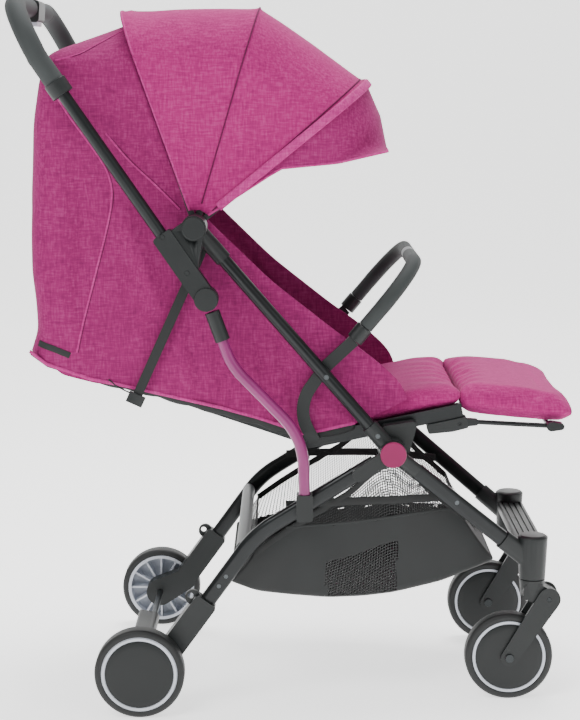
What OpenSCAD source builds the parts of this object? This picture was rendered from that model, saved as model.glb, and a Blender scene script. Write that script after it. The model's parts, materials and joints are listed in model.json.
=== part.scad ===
// Compact folding baby stroller, shown with the backrest fully reclined.
// X points forward, Y to the left, Z up; Z = 0 is the floor and Y = 0 the middle.

/* [Widths] */
// Spacing of the push tubes' centre lines
frame_w = 456; // [400:2:520]
// Spacing of the two caster axes
caster_w = 300; // [270:2:320]
// Clear gap between pieces that pass side by side
side_gap = 3; // [2:0.5:6]

/* [Side view: places forward of the middle, heights above the axles] */
// Fold pivot, forward of the middle
pivot_x = -143.3; // [-160:0.1:-130]
// Fold pivot, above the axles
pivot_up = 651; // [600:1:760]
// Latch, forward of the fold pivot
latch_out = 17; // [10:1:24]
// Latch, below the fold pivot
latch_drop = 101; // [90:1:120]
// Knee pivot, forward of the middle
knee_x = 142.7; // [125:0.1:160]
// Knee pivot, above the axles
knee_up = 322; // [300:1:360]
// Rear axle, forward of the middle
rear_axle_x = -227.3; // [-260:0.1:-200]
// Caster axis, forward of the middle
caster_x = 356.7; // [330:0.1:380]
// Front wheel trail behind the caster axis
trail = 34; // [25:1:40]

/* [Tubes] */
// Diameter of the push tube
push_d = 18; // [16:0.5:22]
// Diameter of the front tubes
front_d = 19; // [16:0.5:22]
// Diameter of the curved braces
brace_d = 16.5; // [14:0.5:19]
// Depth of the oval legs, in side view
leg_h = 24; // [20:0.5:28]
// Thickness of the oval legs, across the stroller
leg_t = 14; // [12:0.5:16]
// Wall of every tube
wall = 1.5; // [1.2:0.1:2.5]
// Sleeve wall around a tube
sleeve_t = 2.6; // [2:0.1:4]

/* [Handle] */
// Angle of the push tube above the floor
push_angle = 55.4; // [50:0.1:60]
// Length of the push tube's straight part above the latch
push_len = 412; // [360:2:480]
// Steeper angle of the handle's top
grip_angle = 63; // [60:0.5:75]
// Corner radius of the handle
handle_r = 72; // [60:1:90]
// Straight rise before the corner
handle_rise = 13; // [8:1:30]
// Thickness of the handle foam
grip_t = 5.5; // [4:0.5:8]

/* [Wheels] */
// Wheel diameter
wheel_d = 132; // [110:1:160]
// Rear wheel width
wheel_w = 30; // [24:1:36]
// Front wheel width
front_wheel_w = 28; // [22:1:30]
// Radial thickness of the tyre
tyre_t = 10; // [8:0.5:14]
// Axle diameter
axle_d = 10; // [8:0.5:12]

/* [Seat] */
// Length of the backrest from its hinge
back_len = 426; // [390:2:440]
// Angle of the reclined backrest above the floor
back_angle = 18.3; // [14:0.2:24]
// Thickness of the backrest pad
back_pad_t = 26; // [18:1:32]
// Thickness of the seat pad
seat_pad_t = 30; // [24:1:40]
// Length of the leg rest pad
rest_len = 176; // [150:2:190]
// Thickness of the leg rest pad
rest_t = 36; // [30:1:46]
// Thickness of each fabric panel
cloth_t = 2.5; // [2:0.1:3.5]

/* [Canopy] */
// Radius of the canopy bows about the fold pivot
bow_r = 313; // [290:1:330]
// Corner radius of the bows
bow_corner = 95; // [70:1:120]
// Angle of the rear bow
rear_bow_a = 108; // [100:1:115]
// Angle of the front bow when open
front_bow_a = 39; // [34:1:46]
// Reach of the visor in front of the front bow, in degrees
visor_a = 18; // [10:1:24]

/* [Bumper bar] */
// Reach of the bar from its sockets
bumper_len = 143; // [120:1:160]
// Angle of the bar above the floor
bumper_angle = 50; // [45:1:65]
// Diameter of the bar with its foam
bumper_d = 22; // [18:0.5:26]

/* [Fits] */
// Radial clearance of a turning fit
run_gap = 0.05; // [0.03:0.01:0.1]
// Radial clearance of a seated fit
seat_fit = 0.1; // [0.05:0.05:0.2]

/* [Hidden] */
$fn = 48;

// ---- colours
c_frame = "#2f3433";
c_plastic = "#3a3f3e";
c_fabric = "#b4478a";
c_accent = "#a8438f";
c_light = "#c9cdd6";
c_foam = "#45494a";
c_mesh = "#2a2d2e";

// ---- small tools
function dir(a) = [cos(a), sin(a)];
function angle_of(v) = atan2(v[1], v[0]);
function at(p, y) = [p[0], y, p[1]];
function wrap(a) = a - 360 * round(a / 360);

// Points of an arc about c, from angle a to angle b
function arc(c, r, a, b, n = 12) = [for (i = [0:n]) c + r * dir(a + (b - a) * i / n)];

// A closed outline with each corner rounded to radius r
function rounded(p, r, n = 6) = [for (i = [0:len(p) - 1])
    let (a = p[(i + len(p) - 1) % len(p)], b = p[i], c = p[(i + 1) % len(p)],
        u = (b - a) / norm(b - a), v = (c - b) / norm(c - b),
        turn = wrap(angle_of(v) - angle_of(u)), s = turn > 0 ? 1 : -1,
        t = r * tan(abs(turn) / 2), o = b - t * u + s * r * [-u[1], u[0]])
    each arc(o, r, angle_of(u) - s * 90, angle_of(u) - s * 90 + turn, n)];

// The outline of a strip of thickness t that follows the points p, on its left side
function strip(p, t) = concat(p, [for (i = [len(p) - 1:-1:0])
    let (u = p[min(i + 1, len(p) - 1)] - p[max(i - 1, 0)])
    p[i] + t * [-u[1], u[0]] / norm(u)]);

// Two round ends joined by their common tangents
function link(p, q, r1, r2) = let (a = angle_of(q - p), t = acos((r1 - r2) / norm(q - p)))
    concat(arc(p, r1, a + t, a + 360 - t), arc(q, r2, a - t, a + t));

module both_sides() {
    children();
    mirror([0, 1, 0]) children();
}

// A side-view outline made solid from y0 to y1
module plate(y0, y1) {
    translate([0, y1, 0]) rotate([90, 0, 0]) linear_extrude(y1 - y0) children();
}

// A cross pin at side-view point p, from y0 to y1
module pin(p, y0, y1, d) {
    translate(at(p, y1)) rotate([90, 0, 0]) cylinder(h = y1 - y0, d = d);
}

// A straight bar along a to b, its cross-section (across, up) given by the children
module strut(a, b, from = 0, to = 0) {
    v = b - a;
    flat = norm([v[0], v[1]]);
    translate(a)
        rotate([0, -atan2(v[2], flat), atan2(v[1], v[0])])
            translate([from, 0, 0])
                rotate([90, 0, 90])
                    linear_extrude((to > 0 ? to : norm(v)) - from) children();
}

// Straight lengths run this far into each bend, and a bend is this much fuller
lap = 1;
fuller = 1.02;

// A bent bar in the side view through points p at y; children give (in plane, across)
module run(p, r, y) {
    last = len(p) - 1;
    d = [for (i = [0:last - 1]) angle_of(p[i + 1] - p[i])];
    cut = [for (i = [0:last]) i == 0 || i == last ? 0 : r * tan(abs(wrap(d[i] - d[i - 1])) / 2) - lap];
    translate([0, y, 0]) rotate([90, 0, 0]) {
        for (i = [0:last - 1])
            translate(p[i] + cut[i] * dir(d[i]))
                rotate([0, 0, d[i]])
                    rotate([90, 0, 90])
                        linear_extrude(norm(p[i + 1] - p[i]) - cut[i] - cut[i + 1]) children();
        for (i = [1:last - 1]) {
            turn = wrap(d[i] - d[i - 1]);
            side = turn > 0 ? 1 : -1;
            start = p[i] - (cut[i] + lap) * dir(d[i - 1]);
            translate(start + side * r * dir(d[i - 1] + 90))
                rotate([0, 0, turn > 0 ? d[i - 1] - 90 : d[i] + 90])
                    rotate_extrude(angle = abs(turn)) translate([r, 0]) scale(fuller) children();
        }
    }
}

module ring(d, t) {
    difference() {
        circle(d = d);
        circle(d = d - 2 * t);
    }
}

// An oval of height h and width w, with round ends, standing up
module oval(w, h) {
    for (s = [-1, 1]) translate([0, s * (h - w) / 2]) circle(d = w);
    square([w, h - w], center = true);
}

module oval_tube(w, h, t) {
    difference() {
        oval(w, h);
        oval(w - 2 * t, h - 2 * t);
    }
}

// ---- skeleton in the side view, as [forward, up]
axle_z = wheel_d / 2;
pivot = [pivot_x, axle_z + pivot_up];
latch = pivot + [latch_out, -latch_drop];
knee = [knee_x, axle_z + knee_up];
rear_axle_p = [rear_axle_x, axle_z];
front_axle_p = [caster_x - trail, axle_z];
front_dir = angle_of(knee - pivot);
front_len = norm(knee - pivot);
function on_front(s, out = 0) = pivot + s * dir(front_dir) + out * dir(front_dir + 90);
push_dir = 180 - push_angle;
function on_push(s, out = 0) = latch + s * dir(push_dir) + out * dir(push_dir - 90);

// ---- planes across the stroller
push_y = frame_w / 2;
front_y = push_y - push_d / 2 - side_gap - sleeve_t - 0.5 - front_d / 2;
eye_in = front_y - front_d / 2 - sleeve_t;
eye_out = push_y - push_d / 2 - sleeve_t;
bow_t = 4;
bow_gap = 0.5;
rear_bow_y = eye_in - bow_gap - bow_t / 2;
mid_bow_y = rear_bow_y - bow_t - bow_gap;
front_bow_y = mid_bow_y - bow_t - bow_gap;
hub_head_y = front_bow_y - bow_t / 2 - bow_gap;
panel_out = hub_head_y - 2.5;
panel_in = panel_out - cloth_t;
hub_head_d = 26;
pad_half = panel_in - side_gap;
rear_wheel_in = front_y + 13 + side_gap;
rear_wheel_out = rear_wheel_in + wheel_w;
caster_y = caster_w / 2;

// ---- pivots and bolts
bolt_d = 8;
eye_r = 18;
knee_r = 20;
cap_t = 4;
cheek_in = front_y + front_d / 2 + sleeve_t + bow_gap;
cheek_out = cheek_in + 6;
screw_d = 7;
screw_t = 1.6;

// ---- front tubes
sleeve_end = 63;
tube_in = 26;
knee_sleeve = 52;
leg_start = 56;
sleeve_d = front_d + 2 * sleeve_t;
strut_screw_s = front_len * 0.66;
module front_screw_places() {
    for (s = [strut_screw_s, front_len - 34])
        translate(at(on_front(s), 0)) children();
}

module front_tubes() {
    color(c_frame) both_sides() difference() {
        strut(at(pivot, front_y), at(knee, front_y), tube_in, front_len - tube_in) ring(front_d, wall);
        front_screw_places()
            translate([0, front_y + 2, 0]) rotate([-90, 0, 0]) cylinder(h = front_d, d = screw_d + 0.2);
    }
}

module upper_sleeves() {
    color(c_plastic) both_sides() difference() {
        union() {
            pin(pivot, eye_in, eye_out - 0.5, 2 * eye_r);
            strut(at(pivot, front_y), at(knee, front_y), 4, sleeve_end) circle(d = sleeve_d);
        }
        pin(pivot, eye_in - 1, eye_out + 1, bolt_d + 2 * run_gap);
        strut(at(pivot, front_y), at(knee, front_y), tube_in - seat_fit, sleeve_end + 1)
            circle(d = front_d + 2 * seat_fit);
    }
}

// ---- knee: the front tube comes down into it and the front leg leaves it
leg_a = at(knee, front_y);
housing_mid_z = axle_z + 143;
leg_b = [caster_x, caster_y, housing_mid_z];
leg_len = norm(leg_b - leg_a);
spigot_t = leg_t - 2 * wall - 2 * seat_fit;
spigot_h = leg_h - 2 * wall - 2 * seat_fit;
module knee_joints() {
    color(c_plastic) both_sides() difference() {
        union() {
            pin(knee, front_y - 12, cheek_in - bow_gap, 2 * knee_r);
            strut(at(knee, front_y), at(pivot, front_y), 4, knee_sleeve) circle(d = sleeve_d);
            strut(leg_a, leg_b, 4, leg_start - 8) oval(leg_t + 1, leg_h - 2);
            strut(leg_a, leg_b, 4, leg_start + 30) oval(spigot_t, spigot_h);
        }
        pin(knee, front_y - 13, cheek_in + 1, bolt_d + 2 * run_gap);
        strut(at(knee, front_y), at(pivot, front_y), tube_in - seat_fit, knee_sleeve + 1)
            circle(d = front_d + 2 * seat_fit);
        translate(at(on_front(front_len - 34), front_y + sleeve_d / 2 - screw_t))
            rotate([-90, 0, 0]) cylinder(h = 9, d = screw_d + 0.2);
    }
}

module knee_caps() {
    color(c_accent) both_sides() {
        pin(knee, cheek_out + bow_gap, cheek_out + bow_gap + cap_t, 38);
        pin(knee, front_y - 13, cheek_out + bow_gap, bolt_d);
        pin(knee, front_y - 16, front_y - 12.2, 14);
    }
}

// ---- front legs
socket_start = leg_len - 62;
leg_screw_s = leg_start + 70;
function on_leg(s) = leg_a + s * (leg_b - leg_a) / leg_len;
module on_leg_face(s) {
    v = leg_b - leg_a;
    translate(on_leg(s)) rotate([0, 0, atan2(v[1], v[0])]) rotate([-90, 0, 0]) children();
}

module front_legs() {
    color(c_frame) both_sides() difference() {
        strut(leg_a, leg_b, leg_start - 8 + seat_fit, leg_len - 36) oval_tube(leg_t, leg_h, wall);
        on_leg_face(leg_screw_s) translate([0, 0, 2]) cylinder(h = leg_t, d = screw_d + 0.2);
    }
}

// ---- caster housings
housing_z0 = axle_z + 119;
housing_z1 = axle_z + 183;
housing_r0 = 19.5;
housing_r1 = 22.5;
stem_d = 10;
stem_top = housing_z1 - 14;
module housing_shape(extra = 0) {
    translate([caster_x, caster_y, housing_z0])
        cylinder(h = housing_z1 - housing_z0, r1 = housing_r0 + extra, r2 = housing_r1 + extra);
    translate([caster_x, caster_y, housing_z1])
        cylinder(h = 3, r1 = housing_r1 + extra, r2 = housing_r1 - 4 + extra);
}

module caster_housings() {
    color(c_plastic) both_sides() difference() {
        union() {
            housing_shape();
            strut(leg_a, leg_b, socket_start, leg_len - 2) oval(leg_t + 5, leg_h + 5);
        }
        strut(leg_a, leg_b, socket_start - 1, leg_len - 36 + seat_fit)
            oval(leg_t + 2 * seat_fit, leg_h + 2 * seat_fit);
        translate([caster_x, caster_y, housing_z0 - 1])
            cylinder(h = stem_top - housing_z0 + 1.5, d = stem_d + 2 * run_gap);
    }
}

// ---- footrest step between the housings
step_z = axle_z + 170;
step_w = 42;
step_t = 16;
groove = 2.5;
module footrest_step() {
    step_half = caster_y - 12;
    color(c_plastic) difference() {
        plate(-step_half, step_half)
            polygon(rounded([[caster_x - step_w / 2, step_z - step_t], [caster_x + step_w / 2, step_z - step_t],
                [caster_x + step_w / 2, step_z], [caster_x - step_w / 2, step_z]], 5));
        for (i = [-1.5:1:1.5])
            translate([caster_x + i * 9 - groove / 2, -step_half, step_z - groove])
                cube([groove, 2 * step_half, 2 * groove]);
        both_sides() translate([caster_x, caster_y, step_z - 2 * step_t])
            cylinder(h = 3 * step_t, r = housing_r1 + seat_fit);
    }
}

// ---- seat frame
rail_y = pad_half - 8;
rail_h = 20;
rail_t = 14;
rail_rear = knee + [-107, 11];
rail_front = knee + [104, 56];
rail_dir = angle_of(rail_front - rail_rear);
rail_len = norm(rail_front - rail_rear);
function on_rail(s, up = 0) = rail_rear + s * dir(rail_dir) + up * dir(rail_dir + 90);
recline_p = on_rail(-14, 0);
rest_p = on_rail(rail_len - 8, -rail_h / 2 - 8);
module seat_frame() {
    color(c_frame) difference() {
        union() {
            both_sides() {
                strut(at(rail_rear, rail_y), at(rail_front, rail_y)) square([rail_t, rail_h], center = true);
                plate(rail_y - rail_t / 2 + 0.5, rail_y + rail_t / 2 - 0.5)
                    polygon(link(recline_p, on_rail(8), rail_h / 2 - 0.5, rail_h / 2 - 0.5));
            }
            for (s = [40, rail_len - 42]) pin(on_rail(s), -rail_y, rail_y, 12);
            plate(-rail_y + 5, rail_y - 5) polygon([on_rail(24, rail_h / 2 - 4), on_rail(rail_len - 20, rail_h / 2 - 4),
                on_rail(rail_len - 20, rail_h / 2 - 1), on_rail(24, rail_h / 2 - 1)]);
        }
        both_sides() pin(recline_p, rail_y - 20, rail_y + 20, bolt_d + 2 * run_gap);
    }
}

// Blocks that carry the rails on the knees, and the leg rest's hinge blocks
module seat_brackets() {
    color(c_plastic) both_sides() {
        difference() {
            plate(rail_y + rail_t / 2 + seat_fit, front_y - 12 - seat_fit)
                polygon(rounded([knee + [-22, -8], knee + [24, -8], knee + [38, 44], knee + [-14, 36]], 6));
            pin(knee, front_y - 20, front_y, 16);
        }
        difference() {
            plate(rail_y - rail_t / 2 - 5, rail_y + rail_t / 2 + 5)
                polygon(rounded([on_rail(rail_len - 56, -24), on_rail(rail_len - 20, -28),
                    on_rail(rail_len + 4, -27), on_rail(rail_len + 4, -10.2), on_rail(rail_len - 56, -10.2)], 3));
            plate(rail_y - 4.5, rail_y + 4.5) translate(rest_p) circle(r = 24);
            pin(rest_p, rail_y - 20, rail_y + 20, 5.9);
        }
    }
}

// ---- soft seat parts, plain solids of the right size
seat_drop = 12;
// A pad's cross-section: flat below, rounded over at both sides; a is above its base line
module pad_section(a, t, r) {
    polygon(concat([[-pad_half, a], [pad_half, a]], arc([pad_half - r, a + t - r], r, 0, 90),
        arc([r - pad_half, a + t - r], r, 90, 180)));
}

module seat_pad() {
    up = rail_h / 2 + 0.5;
    color(c_fabric) intersection() {
        strut(at(rail_rear, 0), at(rail_front, 0), 30, rail_len - 8) pad_section(up, seat_pad_t, 16);
        plate(-pad_half, pad_half) polygon([on_rail(0, up), on_rail(rail_len, up),
            on_rail(rail_len, up + seat_pad_t - seat_drop), on_rail(buckle_s + 40, up + seat_pad_t),
            on_rail(0, up + seat_pad_t)]);
    }
}

back_dir = 180 - back_angle;
function on_back(s, up = 0) = recline_p + s * dir(back_dir) + up * dir(back_dir - 90);
tail = on_back(back_len + 8, 0);
shelf_top = pivot + [-214, 228];
rear_top = pivot + bow_r * dir(rear_bow_a) + [-8, -14];
panel_front = 12;
module side_panels() {
    color(c_fabric) both_sides() difference() {
        plate(panel_in, panel_out)
            polygon([on_back(30, 8), on_back(back_len, 8), [shelf_top[0] - 10, latch[1] + 100], shelf_top,
                rear_top, pivot + [-30, 60], on_front(20, panel_front),
                on_front(front_len - 185, panel_front + 38), on_front(front_len - 92, panel_front + 60),
                on_rail(140, 12), on_rail(20, 12)]);
        pin(pivot, panel_in - 1, panel_out + 1, hub_head_d + 1);
    }
}

module rear_panel() {
    color(c_fabric) plate(-panel_in + 0.4, panel_in - 0.4)
        polygon(strip([on_back(back_len + 2, 42), [shelf_top[0] - 16, latch[1] + 100], shelf_top + [-2, 0],
            rear_top + [-4, 4]], cloth_t));
}

// ---- bumper struts and sockets
strut_w = 18;
strut_t = 4;
strut_y = eye_in - 1 - strut_t / 2;
socket_p = knee + [-58, 161];
bump_dir = bumper_angle;
strut_points = [socket_p + 2 * dir(bump_dir), knee + [-98, 124], knee + [-142, 62], on_rail(-6, 4)];
module bumper_struts() {
    color(c_plastic) both_sides() {
        run(strut_points, 60, strut_y) square([strut_w, strut_t], center = true);
        pin(on_rail(-4, 4), rail_y + rail_t / 2 + seat_fit, strut_y - strut_t / 2, 14);
        pin(on_front(strut_screw_s + 4), strut_y + strut_t / 2, front_y - front_d / 2 + 0.1, 8);
    }
}

bump_y = strut_y;
socket_d = bumper_d + 3;
socket_len = 24;
bump_in = 12;
module bumper_sockets() {
    color(c_plastic) both_sides() difference() {
        strut(at(socket_p, bump_y), at(socket_p + 30 * dir(bump_dir), bump_y), 3, 3 + socket_len)
            circle(d = socket_d);
        strut(at(socket_p, bump_y), at(socket_p + 30 * dir(bump_dir), bump_y), 3 + socket_len - bump_in, 40)
            circle(d = bump_core + 2 * run_gap);
    }
}

// ---- bumper bar: a bent core, its foam and a plain centre band
bump_core = 14;
bump_r = 80;
// The corners and the cross bar of a U, in a plane tilted up by a, with its bar at s
module u_top(o, a, y, s, r) {
    translate(at(o, 0)) rotate([0, -a, 0]) {
        for (m = [0, 1]) mirror([0, m, 0])
            translate([s - r, y - r, 0]) rotate_extrude(angle = 90) translate([r, 0]) scale(fuller) children();
        translate([s, y - r + lap, 0]) rotate([90, 0, 0]) linear_extrude(2 * (y - r + lap)) children();
    }
}

// A whole U: its arms at +-y start at s0
module tilted_u(o, a, y, s0, s, r) {
    u_top(o, a, y, s, r) children();
    translate(at(o, 0)) rotate([0, -a, 0]) for (m = [-1, 1])
        translate([s0, m * y, 0]) rotate([0, 90, 0]) linear_extrude(s - r - s0 + lap) children();
}

module bumper_bar() {
    start = 3 + socket_len - bump_in + 0.3;
    color(c_frame) difference() {
        tilted_u(socket_p, bump_dir, bump_y, start, bumper_len, bump_r) circle(d = bump_core);
        tilted_u(socket_p, bump_dir, bump_y, start - 1, bumper_len, bump_r) circle(d = bump_core - 2 * wall);
    }
}

band_w = 46;
module bumper_foam() {
    color(c_foam) difference() {
        tilted_u(socket_p, bump_dir, bump_y, 4 + socket_len, bumper_len, bump_r) circle(d = bumper_d);
        tilted_u(socket_p, bump_dir, bump_y, socket_len, bumper_len, bump_r) circle(d = bump_core + 2 * seat_fit);
        cube([2000, band_w + 0.4, 4000], center = true);
    }
}

module bumper_band() {
    p = socket_p + bumper_len * dir(bump_dir);
    color(c_light) difference() {
        pin(p, -band_w / 2, band_w / 2, bumper_d - 1);
        pin(p, -band_w, band_w, bump_core + 2 * seat_fit);
    }
}

// ---- harness pieces
strap_w = 25;
strap_t = 2;
buckle_s = 78;
module crotch_strap() {
    up = rail_h / 2 + 3 + seat_pad_t;
    color(c_mesh) plate(-strap_w / 2, strap_w / 2)
        polygon([on_rail(buckle_s + 38, up - 2), on_rail(buckle_s + 38, up - 2 + strap_t),
            on_rail(buckle_s + 20.2, up + 4 + strap_t), on_rail(buckle_s + 20.2, up + 4)]);
}

buckle_up = rail_h / 2 + 3.2 + seat_pad_t;
button_d = 16;
module harness_buckle() {
    color(c_plastic) difference() {
        plate(-25, 25)
            polygon(rounded([on_rail(buckle_s - 26, buckle_up), on_rail(buckle_s + 20, buckle_up),
                on_rail(buckle_s + 20, buckle_up + 14), on_rail(buckle_s - 26, buckle_up + 14)], 4));
        translate(at(on_rail(buckle_s - 3, buckle_up + 5), 0)) rotate([0, 90 - rail_dir - 90, 0])
            cylinder(h = 12, d = button_d + 0.6);
    }
}

module buckle_button() {
    color("#b03030") translate(at(on_rail(buckle_s - 3, buckle_up + 8), 0)) rotate([0, -rail_dir, 0])
        cylinder(h = 7, d = button_d);
}

// ---- basket under the seat
basket_t = 2;
basket_rear_y = front_y - leg_t / 2 - side_gap - 4;
basket_front_y = caster_y - leg_t / 2 - side_gap - 16;
basket_floor = [[-238, -206], [-150, -221], [-40, -226], [80, -212], [168, -184]];
// mouth = 1 carries the space on past its open top
module basket_block(t, mouth) {
    pts = [for (p = basket_floor) knee + p + [p[0] < -200 ? t * 1.4 : p[0] > 150 ? -t * 1.4 : 0, t]];
    intersection() {
        plate(-200, 200) polygon(concat(pts, [knee + [112 - 22.4 * mouth - 1.3 * t, -112 + 28.8 * mouth],
            knee + [20, -46 + 40 * mouth], knee + [-24, -46 + 40 * mouth], knee + [-150, -124 + 40 * mouth],
            knee + [-196 + 16.8 * mouth + 1.3 * t, -140 + 26.4 * mouth]]));
        translate([0, 0, axle_z]) linear_extrude(knee_up + 200)
            polygon([[knee_x - 250, basket_rear_y - t], [knee_x + 180, basket_front_y - t],
                [knee_x + 180, -basket_front_y + t], [knee_x - 250, -basket_rear_y + t]]);
    }
}

module basket() {
    color(c_mesh) difference() {
        basket_block(0, 0);
        basket_block(basket_t, 1);
        translate([knee_x - 250, -basket_front_y, knee[1] - 134]) cube([480, 2 * basket_front_y, 200]);
    }
}

// ---- screws of the chassis
module frame_screws() {
    color("silver") both_sides() {
        translate(at(on_front(strut_screw_s), front_y + front_d / 2 - screw_t))
            rotate([-90, 0, 0]) cylinder(h = screw_t, d = screw_d);
        translate(at(on_front(front_len - 34), front_y + sleeve_d / 2 - screw_t))
            rotate([-90, 0, 0]) cylinder(h = screw_t, d = screw_d);
        on_leg_face(leg_screw_s) translate([0, 0, leg_t / 2 - wall]) cylinder(h = wall, d = screw_d);
    }
}

// ---- canopy: studs, bows and the fabric as a shell of revolution about the pivot
module canopy_hubs() {
    color(c_plastic) both_sides() {
        pin(pivot, hub_head_y - 4, hub_head_y, hub_head_d);
        pin(pivot, hub_head_y, eye_in, bolt_d);
    }
}

bow_w = 9;
module bow(a, y) {
    translate(at(pivot, 0)) rotate([0, -a, 0]) {
        difference() {
            union() {
                for (m = [0, 1]) mirror([0, m, 0]) {
                    translate([0, y, 0]) rotate([90, 0, 0]) translate([0, 0, -bow_t / 2]) cylinder(h = bow_t, r = 11);
                    translate([0, y, 0]) rotate([0, 90, 0]) linear_extrude(bow_r - bow_corner)
                        square([bow_w, bow_t], center = true);
                    translate([bow_r - bow_corner, y - bow_corner, 0]) rotate_extrude(angle = 90)
                        translate([bow_corner, 0]) square([bow_t, bow_w], center = true);
                }
                translate([bow_r, y - bow_corner, 0]) rotate([90, 0, 0]) linear_extrude(2 * (y - bow_corner))
                    square([bow_t, bow_w], center = true);
            }
            rotate([90, 0, 0]) cylinder(h = 600, d = bolt_d + 2 * run_gap, center = true);
        }
    }
}

module rear_bow() {
    color(c_frame) bow(rear_bow_a, rear_bow_y);
}

module mid_bow() {
    color(c_frame) bow(mid_bow_a, mid_bow_y);
}

module front_bow() {
    color(c_frame) bow(front_bow_a, front_bow_y);
}

cover_r = bow_r + bow_t / 2 + 2.5 + cloth_t;
cover_y = rear_bow_y + bow_t / 2 + 1.5 + cloth_t;
mid_bow_a = (rear_bow_a + front_bow_a) / 2;
visor_r = 298;
rear_edge = (cover_r + 4) * dir(rear_bow_a + 2);
visor_edge = visor_r * dir(front_bow_a - visor_a);
hem = 14;
// The canopy's space: flat panels between the bows, rounded over at the sides; open adds the
// mouths at the back and below, so that what is left between two such spaces is cloth alone
module canopy_block(t, open) {
    r = cover_r - 1.05 * t;
    side = cover_y - t;
    corner = bow_corner + 4 - t;
    top = [r * dir(mid_bow_a), r * dir(front_bow_a)];
    back = rear_edge - t * dir(mid_bow_a + 17);
    tip = visor_edge - t * dir(front_bow_a - visor_a / 2 + 4);
    outline = open ? concat([[-60, -30], back + hem * dir(angle_of(back - top[0]))], top,
        [tip + hem * dir(angle_of(tip - top[1])), visor_edge + [0, -60], [60, -40]])
        : concat([(eye_r + 6) * dir(74), rear_edge], top, [visor_edge, [122, 82], (eye_r + 6) * dir(front_bow_a)]);
    intersection() {
        plate(-side, side) translate(pivot) polygon(outline);
        translate(at(pivot, 0)) rotate([90, 0, 0]) rotate([0, 0, -40]) rotate_extrude(angle = 170)
            polygon(concat([[2, -side]], arc([r - corner, corner - side], corner, -90, 0),
                arc([r - corner, side - corner], corner, 0, 90), [[2, side]]));
    }
}

module canopy_fabric() {
    color(c_fabric) difference() {
        canopy_block(0, false);
        canopy_block(cloth_t, true);
    }
}

// ---- push tube: one bent tube from latch bracket round the handle and back
handle_p = on_push(push_len);
bracket_len = 112;
push_start = 30;
// The handle's path: arms in the side view, then the tilted corners and the bar across
module handle_path(s0) {
    for (m = [-1, 1])
        run([on_push(s0), handle_p, handle_p + (handle_rise + lap) * dir(180 - grip_angle)], 40, m * push_y)
            children();
    u_top(handle_p, 180 - grip_angle, push_y, handle_rise + handle_r, handle_r) children();
}

module push_tube() {
    color(c_frame) difference() {
        handle_path(push_start) circle(d = push_d);
        handle_path(push_start - 1) circle(d = push_d - 2 * wall);
        both_sides() for (s = bracket_screws)
            translate(at(on_push(s), push_y + 2)) rotate([-90, 0, 0]) cylinder(h = push_d, d = 5.2);
    }
}

grip_start = 372;
grip_d = push_d + 2 * grip_t;
module handle_grip() {
    color(c_foam) difference() {
        handle_path(grip_start) circle(d = grip_d);
        handle_path(grip_start - 1) circle(d = push_d + 2 * seat_fit);
        cube([2000, 2 * fold_half + 0.6, 6000], center = true);
    }
}

module handle_collars() {
    color(c_plastic) both_sides()
        strut(at(on_push(350), push_y), at(on_push(400), push_y), 0, grip_start - 350 - 0.3)
            ring(grip_d + 4, grip_t + 2 - seat_fit);
}

// ---- pivot brackets: the push tube's end, the ear at the pivot and the latch head
bracket_w = 30;
bracket_screws = [46, 108];
bracket_y0 = push_y - push_d / 2 - sleeve_t;
bracket_y1 = push_y + push_d / 2 + sleeve_t;
module pivot_brackets() {
    color(c_plastic) both_sides() difference() {
        union() {
            plate(bracket_y0, bracket_y1) polygon(rounded([on_push(bracket_len, -bracket_w / 2),
                on_push(bracket_len, bracket_w / 2), on_push(-6, bracket_w / 2), on_push(-6, -bracket_w / 2)], 5));
            plate(bracket_y0, bracket_y1) polygon(arc(latch, 17.5, 0, 345, 23));
            plate(bracket_y0, bracket_y1 - 4) polygon(concat([on_push(30, 4)], [on_push(108, 4)],
                arc(pivot, 18, push_dir + 30, push_dir - 100)));
            pin(pivot, bracket_y0, bracket_y1, 36);
        }
        pin(pivot, bracket_y0 - 1, bracket_y1 + 1, bolt_d + seat_fit);
        strut(at(on_push(push_start - seat_fit), push_y), at(on_push(200), push_y)) circle(d = push_d + 2 * seat_fit);
        for (s = bracket_screws)
            translate(at(on_push(s), push_y)) rotate([-90, 0, 0]) cylinder(h = 30, d = screw_d + 0.2);
    }
}

module pivot_caps() {
    color(c_plastic) both_sides() {
        pin(pivot, bracket_y1 + seat_fit, bracket_y1 + 3, 32);
        pin(pivot, eye_in + 0.5, bracket_y1 + seat_fit, bolt_d);
        pin(latch, bracket_y1 + seat_fit, bracket_y1 + 3, 33);
        for (s = bracket_screws)
            translate(at(on_push(s), bracket_y1 - screw_t)) rotate([-90, 0, 0]) cylinder(h = screw_t, d = screw_d);
    }
}

// ---- fold release in the middle of the handle
fold_half = 34;
button_travel = 4;
bar_p = handle_p + (handle_rise + handle_r) * dir(180 - grip_angle);
module fold_housing() {
    color(c_plastic) difference() {
        plate(-fold_half, fold_half) polygon(rounded([bar_p + [-18, -18], bar_p + [15, -21], bar_p + [17, 10],
            bar_p + [4, 15.5], bar_p + [-18, 12]], 6));
        pin(bar_p, -fold_half - 1, fold_half + 1, push_d + 2 * seat_fit);
        plate(-fold_half + 9, fold_half - 9) translate(bar_p + [-0.5, -22])
            square([13, 7 + button_travel]);
    }
}

module fold_button() {
    color(c_light) plate(-fold_half + 9.5, fold_half - 9.5)
        polygon(rounded([bar_p + [0, -26], bar_p + [12, -26], bar_p + [12, -15.4], bar_p + [0, -15.4]], 2));
}

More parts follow.
